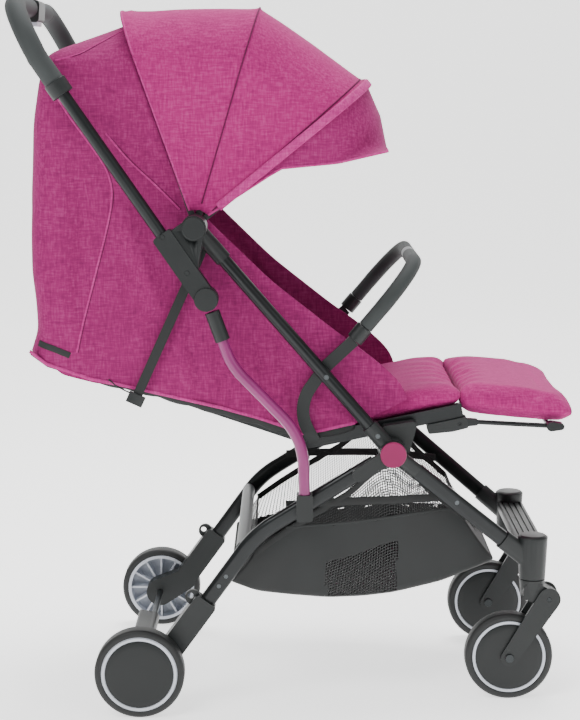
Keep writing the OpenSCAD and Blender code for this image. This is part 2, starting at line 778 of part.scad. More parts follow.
// ---- rear legs
leg_bend = knee + [-199, -123];
leg_foot = rear_axle_p + [43, 22];
leg_bend_r = 160;
rear_leg_from = 30;
up_dir = angle_of(leg_bend - knee);
low_dir = angle_of(leg_foot - leg_bend);
low_len = norm(leg_foot - leg_bend);
function on_upper_leg(s) = knee + s * dir(up_dir);
function on_lower_leg(s) = leg_bend + s * dir(low_dir);
housing_from = low_len - 96;
rivet_s = [housing_from - 46, housing_from - 28];
module rear_leg_tubes() {
    color(c_frame) both_sides() difference() {
        run([on_upper_leg(rear_leg_from), leg_bend, on_lower_leg(low_len - 50)], leg_bend_r, front_y)
            lying_oval(leg_t, leg_h);
        run([on_upper_leg(rear_leg_from - 1), leg_bend, on_lower_leg(low_len - 49)], leg_bend_r, front_y)
            lying_oval(leg_t - 2 * wall, leg_h - 2 * wall);
        pin(cross_p, -front_y, front_y, cross_d + 0.4);
        for (s = rivet_s)
            translate(at(on_lower_leg(s), front_y)) rotate([-90, 0, 0]) cylinder(h = leg_t, d = 6.2);
    }
}

// The same oval lying down: h in the plane of the bend, w across
module lying_oval(w, h) {
    rotate([0, 0, 90]) oval(w, h);
}

cross_p = leg_bend + [-22, -26] + [2, 4];
cross_d = 20;
module rear_cross_tube() {
    color("#6d7070") difference() {
        pin(cross_p, -front_y + leg_t / 2 - wall, front_y - leg_t / 2 + wall, cross_d);
        pin(cross_p, -front_y, front_y, cross_d - 2 * wall);
    }
}

// ---- braces: from the latch down to a saddle clamped on the rear leg
brace_top = latch + [8, -19];
brace_sleeve_end = latch + [23, -60];
brace_mid1 = latch + [35, -96];
brace_foot = on_upper_leg(151);
brace_bend2 = brace_foot + [-3, 106];
brace_points = [brace_top + 0.4 * (brace_sleeve_end - brace_top), brace_mid1, brace_bend2, brace_foot + [0, 13]];
brace_core = [brace_points[0] + 0.1 * (brace_points[0] - brace_points[1]), brace_points[1], brace_points[2],
    brace_points[3] - [0, 2]];
module brace_tubes() {
    color(c_accent) both_sides() difference() {
        run(brace_points, 105, push_y) circle(d = brace_d);
        run(brace_core, 105, push_y) circle(d = brace_d - 2 * wall);
    }
}

module brace_fittings() {
    color(c_plastic) both_sides() {
        difference() {
            strut(at(brace_top, push_y), at(brace_sleeve_end, push_y)) circle(d = brace_d + 2 * sleeve_t);
            run(brace_points, 105, push_y) circle(d = brace_d + 2 * seat_fit);
        }
        difference() {
            plate(front_y + leg_t / 2 + seat_fit, push_y + brace_d / 2 + 2) polygon(rounded([brace_foot + [-12, -17],
                brace_foot + [12, -17], brace_foot + [12, 22], brace_foot + [-12, 22]], 3));
            run(brace_points, 105, push_y) circle(d = brace_d + 2 * seat_fit);
        }
        difference() {
            union() {
                pin(knee, cheek_in, cheek_out, 2 * knee_r - 2);
                plate(cheek_in, cheek_out) polygon(link(knee, on_upper_leg(58), 12, 10));
                plate(front_y + leg_t / 2 + seat_fit, cheek_in) polygon(link(on_upper_leg(44), on_upper_leg(58), 10, 10));
            }
            pin(knee, cheek_in - 1, cheek_out + 1, bolt_d + 2 * run_gap);
        }
    }
}

// ---- rear housings with the axle and the tether loops
housing_w = 37;
rear_housing_t = 26;
module rear_housings() {
    n = dir(low_dir + 90);
    a = on_lower_leg(housing_from);
    b = on_lower_leg(low_len);
    color(c_plastic) both_sides() difference() {
        union() {
            plate(front_y - 13, front_y + 13) polygon(rounded([a + 16 * n, a - 19 * n, b - 19 * n, b + 16 * n], 5));
            plate(front_y - 13, front_y + 13) polygon(link(rear_axle_p, b, 23, 18));
            plate(front_y - 3, front_y + 3) polygon(concat(arc(a - 21 * n + 9 * dir(low_dir), 11.5, 0, 330)));
        }
        plate(front_y - 5, front_y + 5) translate(a - 24.5 * n + 9 * dir(low_dir)) circle(r = 4.5);
        run([on_upper_leg(120), leg_bend, on_lower_leg(low_len - 50 + seat_fit)], leg_bend_r, front_y)
            lying_oval(leg_t + 2 * seat_fit, leg_h + 2 * seat_fit);
        pin(rear_axle_p, front_y - 14, front_y + 14, axle_d + 2 * seat_fit);
    }
}

module rear_axle() {
    color("#8d9192") pin(rear_axle_p, -rear_wheel_out + 4, rear_wheel_out - 4, axle_d);
}

module leg_rivets() {
    color("silver") both_sides() for (s = rivet_s)
        translate(at(on_lower_leg(s), front_y + leg_t / 2 - wall)) rotate([-90, 0, 0]) cylinder(h = wall, d = 6);
}

// ---- brake pedal on the axle
pedal_half = 46;
module brake_pedal() {
    color(c_plastic) difference() {
        union() {
            pin(rear_axle_p, -pedal_half, pedal_half, axle_d + 8);
            plate(-pedal_half, pedal_half) polygon(rounded([rear_axle_p + [-4, -8], rear_axle_p + [4, 8],
                rear_axle_p + [-22, 13], rear_axle_p + [-26, 1]], 4));
        }
        pin(rear_axle_p, -pedal_half - 1, pedal_half + 1, axle_d + 2 * run_gap);
    }
}

// ---- wheels
rim_r = wheel_d / 2 - tyre_t;
ring_w = 5.5;
module tyre(p, y, w) {
    shoulder = 6;
    r = wheel_d / 2;
    color(c_frame) translate(at(p, y)) rotate([90, 0, 0]) rotate_extrude($fn = 96)
        polygon(concat([[rim_r + seat_fit, -w / 2], [r - shoulder, -w / 2]],
            arc([r - shoulder, shoulder - w / 2], shoulder, -90, 0, 6),
            arc([r - shoulder, w / 2 - shoulder], shoulder, 0, 90, 6), [[rim_r + seat_fit, w / 2]]));
}

// A dished hub: outer disc with a groove for the ring, rim, boss and spokes; outside is +z
module hub(p, y, w, out, bore) {
    web = 4;
    color(c_light) translate(at(p, y)) rotate([-90 * out, 0, 0]) difference() {
        union() {
            difference() {
                translate([0, 0, -w / 2]) cylinder(h = w - 1, r = rim_r, $fn = 96);
                translate([0, 0, -w / 2 - 1]) cylinder(h = w - web, r = rim_r - 5, $fn = 96);
            }
            translate([0, 0, -w / 2]) cylinder(h = w - 2, r = 14);
            for (i = [0:11]) rotate([0, 0, i * 30])
                translate([10, -1.5, -w / 2 + 4]) cube([rim_r - 13, 3, w - 8]);
        }
        translate([0, 0, w / 2 - 2]) linear_extrude(3) ring(2 * rim_r - 2, ring_w);
        translate([0, 0, -w]) cylinder(h = 2 * w, d = bore);
    }
}

rear_wheel_y = rear_wheel_in + wheel_w / 2;
module rear_tyre_left() {
    tyre(rear_axle_p, rear_wheel_y, wheel_w);
}

module rear_hub_left() {
    hub(rear_axle_p, rear_wheel_y, wheel_w, 1, axle_d + 2 * run_gap);
}

module rear_tyre_right() {
    tyre(rear_axle_p, -rear_wheel_y, wheel_w);
}

module rear_hub_right() {
    hub(rear_axle_p, -rear_wheel_y, wheel_w, -1, axle_d + 2 * run_gap);
}

module front_tyre_left() {
    tyre(front_axle_p, caster_y, front_wheel_w);
}

module front_hub_left() {
    hub(front_axle_p, caster_y, front_wheel_w, 1, bolt_d + 2 * run_gap);
}

module front_tyre_right() {
    tyre(front_axle_p, -caster_y, front_wheel_w);
}

module front_hub_right() {
    hub(front_axle_p, -caster_y, front_wheel_w, -1, bolt_d + 2 * run_gap);
}

// ---- casters
fork_in = front_wheel_w / 2 + 2;
fork_out = fork_in + 5;
fork_p = [caster_x + 24, axle_z + 91];
module caster_fork(side) {
    y = side * caster_y;
    color(c_plastic) difference() {
        union() {
            translate([caster_x, y, housing_z0 - 26]) cylinder(h = 25, r1 = 17, r2 = 19.5);
            translate([caster_x, y, housing_z0 - 1]) cylinder(h = stem_top - housing_z0 + 1, d = stem_d);
            plate(y - fork_in - 1, y + fork_in + 1) polygon(link([caster_x, housing_z0 - 18], fork_p, 15, 14));
            for (s = [-1, 1]) plate(y + s * (fork_in + fork_out) / 2 - 2.5, y + s * (fork_in + fork_out) / 2 + 2.5)
                polygon(link(fork_p, front_axle_p, 17, 13));
        }
        pin(front_axle_p, y - fork_out - 1, y + fork_out + 1, bolt_d + 2 * seat_fit);
        for (s = [-1, 1]) pin(fork_p, y + s * (fork_out - 0.7) - 1, y + s * (fork_out - 0.7) + 1, screw_d + 0.2);
    }
}

module caster_bolts(side) {
    y = side * caster_y;
    color("silver") {
        pin(front_axle_p, y - fork_out - 2, y + fork_out + 2, bolt_d);
        for (s = [-1, 1]) {
            pin(front_axle_p, y + s * (fork_out + 1.6) - 1.5, y + s * (fork_out + 1.6) + 1.5, 13);
            pin(fork_p, y + s * (fork_out - 0.7) - 0.8, y + s * (fork_out - 0.7) + 0.8, screw_d);
        }
    }
}

module caster_fork_left() {
    caster_fork(1);
}

module caster_fork_right() {
    caster_fork(-1);
}

module caster_bolts_left() {
    caster_bolts(1);
}

module caster_bolts_right() {
    caster_bolts(-1);
}

// ---- backrest
arm_y = rail_y - rail_t / 2 - 1;
module backrest_frame() {
    color(c_frame) {
        both_sides() {
            plate(arm_y - 8, arm_y) polygon(link(recline_p, on_back(back_len - 20), 8, 6));
            pin(recline_p, arm_y, rail_y + rail_t / 2, bolt_d);
        }
        pin(on_back(back_len - 20), -arm_y, arm_y, 12);
        plate(-arm_y + 8, arm_y - 8)
            polygon([on_back(30, 1), on_back(back_len - 24, 1), on_back(back_len - 24, 5), on_back(30, 5)]);
    }
}

pad_up = 8.5;
module backrest_pad() {
    color(c_fabric) strut(at(on_back(back_len - 4), 0), at(on_back(38), 0)) pad_section(pad_up, back_pad_t, 16);
}

module shoulder_straps() {
    up = pad_up + back_pad_t + 0.3;
    color(c_mesh) both_sides() plate(38, 38 + strap_w)
        polygon([on_back(70, up), on_back(70, up + strap_t), on_back(290, up + strap_t), on_back(290, up)]);
}

// ---- recline straps, from the pivot down to the backrest
strap_y = (front_bow_y + mid_bow_y) / 2 + 2;
strap_foot = on_back(240, 2) + [-17, -12];
module recline_straps() {
    color(c_mesh) both_sides() plate(strap_y - 1, strap_y + 1)
        polygon(link(pivot + [-6, -22], strap_foot, 7, 7));
}

// ---- leg rest
rest_dir = -4;
function on_rest(s, up = 0) = rest_p + s * dir(rest_dir) + up * dir(rest_dir + 90);
rod_d = 7;
module legrest_frame() {
    color(c_frame) both_sides() {
        plate(rail_y - 4, rail_y + 4) polygon(link(rest_p, on_rest(24, 2), 7, 5));
        strut(at(on_rest(20, 2), rail_y), at(on_rest(rest_len - 40, 4), rail_y)) circle(d = rod_d);
        plate(rail_y - 9, rail_y + 9) polygon(link(on_rest(rest_len - 40, 4), on_rest(rest_len - 26, 5), 7, 5));
        pin(rest_p, rail_y - 10, rail_y + 10, 5.8);
    }
    color(c_frame) pin(on_rest(rest_len - 42, 4), -rail_y, rail_y, rod_d);
}

module legrest_pad() {
    color(c_fabric) intersection() {
        strut(at(rest_p, 0), at(on_rest(rest_len), 0)) pad_section(17, rest_t, 24);
        plate(-pad_half, pad_half)
            polygon(rounded([on_rest(10, 21), on_rest(40, 17), on_rest(rest_len - 10, 16), on_rest(rest_len - 1, 24),
                on_rest(rest_len - 34, 17 + rest_t), on_rest(10, 18 + rest_t)], 4));
    }
}

front_tubes();
upper_sleeves();
knee_joints();
knee_caps();
front_legs();
caster_housings();
footrest_step();
seat_frame();
seat_brackets();
seat_pad();
side_panels();
rear_panel();
bumper_struts();
bumper_sockets();
crotch_strap();
harness_buckle();
basket();
frame_screws();
canopy_hubs();
rear_bow();
push_tube();
handle_grip();
handle_collars();
pivot_brackets();
pivot_caps();
fold_housing();
fold_button();
rear_leg_tubes();
brace_tubes();
brace_fittings();
rear_housings();
rear_axle();
rear_cross_tube();
leg_rivets();
brake_pedal();
rear_tyre_left();
rear_hub_left();
rear_tyre_right();
rear_hub_right();
front_tyre_left();
front_hub_left();
front_tyre_right();
front_hub_right();
caster_fork_left();
caster_bolts_left();
caster_fork_right();
caster_bolts_right();
backrest_frame();
backrest_pad();
shoulder_straps();
recline_straps();
legrest_frame();
legrest_pad();
bumper_bar();
bumper_foam();
bumper_band();
front_bow();
mid_bow();
canopy_fabric();
buckle_button();
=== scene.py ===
# %% [markdown]
# A compact folding stroller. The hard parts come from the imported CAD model, which is the
# frame that everything else is placed by. Here each hard part gets soft edges and a real
# finish, and each cloth part is built again as cloth: canopy, seat shell, pads, basket, straps.

import json
import math

import bmesh
import bpy
import numpy as np
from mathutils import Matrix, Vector
from mathutils.bvhtree import BVHTree


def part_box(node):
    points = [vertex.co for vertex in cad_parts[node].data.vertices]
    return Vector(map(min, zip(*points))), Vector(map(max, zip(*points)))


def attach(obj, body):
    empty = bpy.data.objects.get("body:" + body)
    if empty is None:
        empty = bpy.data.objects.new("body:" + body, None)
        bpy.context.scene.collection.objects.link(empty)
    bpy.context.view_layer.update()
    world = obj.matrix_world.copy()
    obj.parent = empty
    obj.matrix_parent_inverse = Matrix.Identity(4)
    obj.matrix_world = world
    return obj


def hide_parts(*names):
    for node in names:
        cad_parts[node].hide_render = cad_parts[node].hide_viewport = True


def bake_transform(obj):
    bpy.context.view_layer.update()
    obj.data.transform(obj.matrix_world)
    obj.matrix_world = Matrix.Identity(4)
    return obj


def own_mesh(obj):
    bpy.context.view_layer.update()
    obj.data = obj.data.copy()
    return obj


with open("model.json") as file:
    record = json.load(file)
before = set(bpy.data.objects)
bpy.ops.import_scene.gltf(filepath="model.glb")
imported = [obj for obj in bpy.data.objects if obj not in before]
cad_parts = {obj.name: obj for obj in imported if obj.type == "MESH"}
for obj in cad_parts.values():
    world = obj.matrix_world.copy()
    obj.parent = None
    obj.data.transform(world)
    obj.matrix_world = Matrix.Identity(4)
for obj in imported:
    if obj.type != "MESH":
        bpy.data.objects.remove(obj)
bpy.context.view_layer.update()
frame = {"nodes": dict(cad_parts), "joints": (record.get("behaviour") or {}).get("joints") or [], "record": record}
nodes = frame["nodes"]
joint = {j["name"]: j for j in frame["joints"]}
body_of = {n: b for b, ns in frame["record"]["behaviour"]["bodies"].items() for n in ns}

# %% [markdown]
# The side view is worked out in millimetres, as [forward, up] points. Three pivots of the packed
# model are the fixed points of that drawing: the fold pivot, the knee and the backrest hinge.

# %% Fixed points of the side view
PIVOT, KNEE, RECLINE, REST = (
    np.array([joint[n]["pos_m"][0], joint[n]["pos_m"][2]]) * 1000
    for n in ("fold", "rear_fold", "recline", "legrest_tilt")
)
DRAWN_PIVOT = np.array([-145.0, 717.0])
SHIFT = PIVOT - DRAWN_PIVOT


def drawn(*points):
    """Side-view points of the drawing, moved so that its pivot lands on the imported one."""
    return np.array(points, float) + SHIFT


def from_pivot(*points):
    """Side-view points given in millimetres ahead of and above the fold pivot."""
    return PIVOT + np.array(points, float)


def direction(degrees):
    """The unit vector at an angle above the forward axis."""
    a = np.radians(degrees)
    return np.stack([np.cos(a), np.sin(a)], axis=-1)


def smooth(x, lo=0.0, hi=1.0):
    """0 below lo, 1 above hi, and an S-curve 3t^2 - 2t^3 between."""
    t = np.clip((x - lo) / (hi - lo), 0, 1)
    return t * t * (3 - 2 * t)


def along(points, n):
    """n points spread evenly by length along a polyline."""
    points = np.asarray(points, float)
    length = np.r_[0, np.cumsum(np.linalg.norm(np.diff(points, axis=0), axis=1))]
    s = np.linspace(0, length[-1], n)
    return np.stack([np.interp(s, length, points[:, k]) for k in range(points.shape[1])], axis=1)


def rounded_path(points, n, passes=40):
    """A polyline spread evenly, then averaged with its neighbours until its corners are soft."""
    p = along(points, n)
    for _ in range(passes):
        p[1:-1] = 0.5 * p[1:-1] + 0.25 * (p[:-2] + p[2:])
    return p


print("pivot", PIVOT, "knee", KNEE)

# %% [markdown]
# The camera stands at canopy height, square to the side, and looks slightly down.

# %% Camera
camera = bpy.data.objects.new("camera", bpy.data.cameras.new("camera"))
bpy.context.scene.collection.objects.link(camera)
bpy.context.scene.camera = camera
camera.location = (-0.0087 + SHIFT[0] / 1000, -2.8270, 0.9202)
camera.rotation_euler = (math.pi / 2 - 0.1499, 0, 0)
camera.data.sensor_width = 36
camera.data.lens = 91.69
camera.data.sensor_fit = "VERTICAL"
camera.data.sensor_height = 36

# %% [markdown]
# Materials are node trees. One small function adds a node with its settings and its links, and
# one turns a hex colour as seen on a screen into the linear colour that a shader wants.

# %% Material helpers


def linear(code, alpha=1.0):
    """An sRGB hex colour as linear RGBA: (c / 12.92) when dark, ((c + 0.055) / 1.055)^2.4 above."""
    c = np.array([int(code[i : i + 2], 16) / 255 for i in (1, 3, 5)])
    c = np.where(c <= 0.04045, c / 12.92, ((c + 0.055) / 1.055) ** 2.4)
    return (*(float(v) for v in c), alpha)


def add(tree, kind, inputs=None, **settings):
    """Adds a node; an input that is a socket is linked, and any other is set."""
    node = tree.nodes.new(kind)
    for key, value in settings.items():
        setattr(node, key, value)
    for key, value in (inputs or {}).items():
        if isinstance(value, bpy.types.NodeSocket):
            tree.links.new(value, node.inputs[key])
        else:
            node.inputs[key].default_value = value
    return node


def new_material(name, **shader):
    """A material with a Principled shader whose plain values are set on its own sockets."""
    material = bpy.data.materials.new(name)
    material.use_nodes = True
    tree = material.node_tree
    principled = tree.nodes["Principled BSDF"]
    for key, value in shader.items():
        principled.inputs[key.replace("_", " ")].default_value = value
    return material, tree, principled


def ramp(tree, factor, stops):
    """A colour ramp with (position, hex colour) stops."""
    node = add(tree, "ShaderNodeValToRGB", {"Fac": factor})
    elements = node.color_ramp.elements
    while len(elements) < len(stops):
        elements.new(0.5)
    for element, (position, code) in zip(elements, stops):
        element.position = position
        element.color = linear(code)
    return node


def texture_noise(tree, vector, size_mm, stretch=(1, 1, 1), detail=2.0):
    """Noise whose grains are about size_mm across, stretched along the axes given."""
    turned = add(tree, "ShaderNodeMapping", {"Vector": vector, "Scale": tuple(1 / s for s in stretch)})
    return add(tree, "ShaderNodeTexNoise", {"Vector": turned.outputs["Vector"], "Scale": 500 / size_mm,
                                            "Detail": detail, "Roughness": 0.55})


# %% [markdown]
# The cover is a melange polyester: each yarn is spun from light and dark fibres, so the cloth
# shows short streaks along warp and weft. Real yarns are 0.4 mm; they are drawn 1.1 mm so that
# the weave still shows. A little sheen gives the soft bright rim that woven polyester has.

# %% Melange cloth


def melange(name, dark, middle, light, weave_mm=1.1):
    """Woven melange: streaks both ways choose the shade, and crossed waves raise the yarns."""
    material, tree, shader = new_material(name, Roughness=0.85, IOR=1.45, Specular_IOR_Level=0.25,
                                          Sheen_Weight=0.06, Sheen_Roughness=0.4)
    shader.inputs["Sheen Tint"].default_value = linear("#F0B8D8")
    where = add(tree, "ShaderNodeTexCoord").outputs["Object"]
    weft = texture_noise(tree, where, 1.3, (7, 1, 1)).outputs["Fac"]
    warp = texture_noise(tree, where, 1.3, (1, 1, 6)).outputs["Fac"]
    streaks = add(tree, "ShaderNodeMath", {0: weft, 1: warp}, operation="ADD").outputs[0]
    half = add(tree, "ShaderNodeMath", {0: streaks, 1: 0.5}, operation="MULTIPLY").outputs[0]
    broad = texture_noise(tree, where, 60.0).outputs["Fac"]
    mixed = add(tree, "ShaderNodeMath", {0: broad, 1: 0.12, 2: half}, operation="MULTIPLY_ADD").outputs[0]
    colour = ramp(tree, mixed, [(0.30, dark), (0.56, middle), (0.84, light)])
    tree.links.new(colour.outputs["Color"], shader.inputs["Base Color"])
    waves = []
    for axis in ("X", "Z"):
        waves.append(add(tree, "ShaderNodeTexWave", {"Vector": where, "Scale": 1000 / weave_mm / 6.283 * 2,
                         "Distortion": 0.6, "Detail": 1.0}, bands_direction=axis).outputs["Fac"])
    crossed = add(tree, "ShaderNodeMath", {0: waves[0], 1: waves[1]}, operation="MULTIPLY").outputs[0]
    height = add(tree, "ShaderNodeMath", {0: half, 1: 0.7, 2: crossed}, operation="MULTIPLY_ADD").outputs[0]
    bump = add(tree, "ShaderNodeBump", {"Height": height, "Strength": 0.3, "Distance": 0.0004})
    tree.links.new(bump.outputs["Normal"], shader.inputs["Normal"])
    return material


cover_cloth = melange("melange polyester cover", "#7C1252", "#9C2067", "#B63E80")
# Painted shade: the cover cloth made darker, for the seat shell and the visor, which take less light than the
# canopy's top and sides.
shaded_cover_cloth = melange("melange polyester cover, painted shade", "#661046", "#881D5B", "#A03A74")
# A lighter copy of the cover cloth for piping, binding, bands and hems: partly the binding's own tone, partly a
# painted highlight along raised edges.
binding_and_highlight_cloth = melange("melange polyester binding, lighter as painted highlight", "#861A5A", "#AC3078", "#C44E92")
# Painted shadow: a darker copy of the cover cloth, laid as thin strips beside seams.
shadow_cloth = melange("melange polyester, painted fold shadow", "#4A0E32", "#5C163E", "#6E2250")

# %% [markdown]
# Black parts differ by their make. The tubes are anodised aluminium, a satin metal. The joints
# are moulded nylon with a spark-eroded grain. Foam grips are closed-cell rubber with a fine
# open skin. The wheels have a matte foam-rubber tyre. Each has its own roughness and grain.

# %% Plastics, metals and rubbers


def grained(name, colour, roughness, grain_mm, depth_mm, spread=0.06, **shader):
    """A plain colour with a grain: noise of grain_mm moves the surface and the gloss a little."""
    material, tree, principled = new_material(name, **shader)
    where = add(tree, "ShaderNodeTexCoord").outputs["Object"]
    grain = texture_noise(tree, where, grain_mm).outputs["Fac"]
    broad = texture_noise(tree, where, 35.0).outputs["Fac"]
    tone = ramp(tree, broad, [(0.3, colour[0]), (0.7, colour[1])])
    tree.links.new(tone.outputs["Color"], principled.inputs["Base Color"])
    rough = add(tree, "ShaderNodeMapRange", {"Value": broad, "To Min": roughness - spread,
                                             "To Max": roughness + spread})
    tree.links.new(rough.outputs["Result"], principled.inputs["Roughness"])
    bump = add(tree, "ShaderNodeBump", {"Height": grain, "Strength": 0.4, "Distance": depth_mm / 1000})
    tree.links.new(bump.outputs["Normal"], principled.inputs["Normal"])
    return material


black_tube = grained("anodised aluminium, black", ("#17191A", "#1D2021"), 0.3, 0.5, 0.02, 0.03,
                     Metallic=0.6, Coat_Weight=0.12, Coat_Roughness=0.25)
black_nylon = grained("moulded nylon, black", ("#191C1C", "#1F2222"), 0.42, 0.7, 0.10, IOR=1.45,
                      Specular_IOR_Level=0.4)
bow_plastic = grained("bow strip, black", ("#202223", "#2A2C2D"), 0.5, 0.8, 0.05, IOR=1.5)
magenta_gloss = grained("lacquered aluminium, magenta", ("#761458", "#821A62"), 0.32, 2.0, 0.01, 0.03,
                        Metallic=0.15, Coat_Weight=0.25, Coat_Roughness=0.3)
magenta_cap = grained("ABS cap, magenta", ("#7C0E46", "#84144E"), 0.36, 0.8, 0.03, IOR=1.45,
                      Specular_IOR_Level=0.35)
grip_foam = grained("closed-cell foam, grey", ("#2C3030", "#363A3A"), 0.78, 0.9, 0.25, IOR=1.45)
tyre_rubber = grained("foam rubber tyre, black", ("#111313", "#171919"), 0.58, 0.9, 0.12, IOR=1.5)
wheel_dark = grained("wheel disc, dark", ("#161919", "#1B1E1E"), 0.42, 0.8, 0.06, IOR=1.45,
                     Specular_IOR_Level=0.4)
pale_plastic = grained("moulded plastic, pale grey", ("#B9BEC6", "#C9CDD6"), 0.38, 0.8, 0.04, IOR=1.5)
steel = grained("zinc-plated steel", ("#4E5254", "#5C6062"), 0.36, 0.6, 0.02, 0.05, Metallic=1.0)
dark_steel = grained("black-oxide steel", ("#303334", "#3A3D3E"), 0.36, 0.6, 0.02, 0.05, Metallic=0.8)
cross_grey = grained("painted tube, grey", ("#4A4E4E", "#565A5A"), 0.45, 0.6, 0.03, Metallic=0.2)
button_red = grained("ABS button, red", ("#A02525", "#B03030"), 0.35, 0.8, 0.03, IOR=1.53)
band_grey = grained("band, grey", ("#4E5254", "#5A5E60"), 0.5, 0.8, 0.05, IOR=1.5)

# %% [markdown]
# Black textiles: real webbing has ribs across its length, drawn here as a plain coarse grain, and the basket is a
# knitted mesh whose holes let the light through. Real holes are 1.5 mm apart; they are drawn 4.3 mm apart so that
# they still show.

# %% Webbing, black cloth and open mesh
webbing = grained("woven webbing, black", ("#101212", "#181A1A"), 0.75, 1.2, 0.3, Sheen_Weight=0.03)
black_cloth = grained("polyester lining, black", ("#131515", "#1B1E1E"), 0.75, 0.8, 0.15, Sheen_Weight=0.03)


def open_mesh(name, colour, pitch_mm, share, **shader):
    """Knitted mesh on the piece's own UV map: sin(u) * sin(v) above a level is a hole."""
    material, tree, principled = new_material(name, Roughness=0.62, **shader)
    principled.inputs["Base Color"].default_value = linear(colour)
    place = add(tree, "ShaderNodeUVMap", uv_map="cloth").outputs["UV"]
    turned = add(tree, "ShaderNodeMapping", {"Vector": place, "Rotation": (0, 0, math.radians(6)),
                                             "Scale": (6283.2 / pitch_mm / 2,) * 3}).outputs["Vector"]
    parts = add(tree, "ShaderNodeSeparateXYZ", {"Vector": turned})
    u = add(tree, "ShaderNodeMath", {0: parts.outputs["X"]}, operation="SINE").outputs[0]
    v = add(tree, "ShaderNodeMath", {0: parts.outputs["Y"]}, operation="SINE").outputs[0]
    both = add(tree, "ShaderNodeMath", {0: u, 1: v}, operation="MULTIPLY").outputs[0]
    size = add(tree, "ShaderNodeMath", {0: both}, operation="ABSOLUTE").outputs[0]
    thread = add(tree, "ShaderNodeMapRange", {"Value": size, "From Min": share, "From Max": share + 0.12,
                                              "To Min": 1.0, "To Max": 0.0}).outputs["Result"]
    tree.links.new(thread, principled.inputs["Alpha"])
    return material


basket_net = open_mesh("knitted mesh, black", "#1A1C1C", 4.3, 0.2)
print("materials", len(bpy.data.materials))

# %% [markdown]
# The hard parts keep the CAD shape. A copy of each mesh has its loose triangles merged and its
# flat faces joined, and a Bevel modifier then rounds every sharp edge as a mould or a deburring
# tool does, because a real edge always catches a thin line of light.

# %% Hard parts with soft edges


def collection_add(obj):
    bpy.context.scene.collection.objects.link(obj)
    return obj


def edged_copy(node, material, width_mm=0.7, name=None):
    """A merged copy of a CAD node, with its edges over 32 degrees rounded by width_mm."""
    mesh = nodes[node].data.copy()
    work = bmesh.new()
    work.from_mesh(mesh)
    bmesh.ops.remove_doubles(work, verts=work.verts, dist=2e-6)
    bmesh.ops.dissolve_limit(work, angle_limit=math.radians(0.6), verts=work.verts, edges=work.edges)
    work.to_mesh(mesh)
    work.free()
    mesh.materials.clear()
    mesh.materials.append(material)
    mesh.polygons.foreach_set("use_smooth", [True] * len(mesh.polygons))
    mesh.set_sharp_from_angle(angle=math.radians(32))
    piece = collection_add(bpy.data.objects.new(name or node + "_finished", mesh))
    bevel = piece.modifiers.new("edge", "BEVEL")
    bevel.width, bevel.segments, bevel.limit_method = width_mm / 1000, 2, "ANGLE"
    bevel.angle_limit, bevel.harden_normals, bevel.use_clamp_overlap = math.radians(32), True, True
    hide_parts(node)
    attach(piece, body_of[node])
    return piece


FINISH = {
    black_tube: ["front_tubes", "front_legs", "push_tube", "rear_leg_tubes", "seat_frame", "backrest_frame",
                 "legrest_frame", "bumper_bar"],
    black_nylon: ["upper_sleeves", "knee_joints", "caster_housings", "footrest_step", "seat_brackets",
                  "bumper_struts", "bumper_sockets", "harness_buckle", "canopy_hubs", "handle_collars",
                  "pivot_brackets", "pivot_caps", "fold_housing", "brace_fittings", "rear_housings",
                  "brake_pedal", "caster_fork_left", "caster_fork_right"],
    bow_plastic: ["rear_bow", "front_bow", "mid_bow"],
    magenta_gloss: ["brace_tubes"],
    magenta_cap: ["knee_caps"],
    grip_foam: ["handle_grip", "bumper_foam"],
    tyre_rubber: ["rear_tyre_left", "rear_tyre_right", "front_tyre_left", "front_tyre_right"],
    pale_plastic: ["rear_hub_left", "rear_hub_right", "fold_button"],
    wheel_dark: ["front_hub_left", "front_hub_right"],
    dark_steel: ["caster_bolts_left", "caster_bolts_right"],
    steel: ["rear_axle", "frame_screws", "leg_rivets"],
    cross_grey: ["rear_cross_tube"],
    button_red: ["buckle_button"],
    band_grey: ["bumper_band"],
}
EDGE_MM = {"handle_grip": 2.0, "bumper_foam": 2.0, "rear_axle": 0.4, "frame_screws": 0.3, "leg_rivets": 0.3,
           "footrest_step": 0.8, "knee_caps": 1.4, "pivot_caps": 1.0, "push_tube": 0.3, "brace_tubes": 0.3,
           "rear_leg_tubes": 0.3, "bumper_bar": 0.3, "front_tubes": 0.3}
for finish, members in FINISH.items():
    for node in members:
        edged_copy(node, finish, EDGE_MM.get(node, 0.7))
print("hard parts", sum(len(m) for m in FINISH.values()))

# %% [markdown]
# Each wheel has a pale ring let into its rim and a dark disc inside the ring. The disc is a
# profile turned about the axle: a shallow dish with a raised centre cap.

# %% Wheel faces


def mesh_piece(name, points, faces, materials, face_material=None, uv=None, smooth_faces=True):
    """A mesh object from a point array (metres) and a face array, with an optional UV per point."""
    mesh = bpy.data.meshes.new(name)
    faces = np.asarray(faces)
    mesh.from_pydata(points.tolist(), [], faces.tolist())
    for material in materials:
        mesh.materials.append(material)
    if face_material is not None:
        mesh.polygons.foreach_set("material_index", np.asarray(face_material, np.int32))
    mesh.polygons.foreach_set("use_smooth", [smooth_faces] * len(mesh.polygons))
    if uv is not None:
        loops = np.empty(len(mesh.loops), np.int32)
        mesh.loops.foreach_get("vertex_index", loops)
        layer = mesh.uv_layers.new(name="cloth")
        layer.data.foreach_set("uv", np.asarray(uv, np.float32)[loops].ravel())
    mesh.update()
    return collection_add(bpy.data.objects.new(name, mesh))


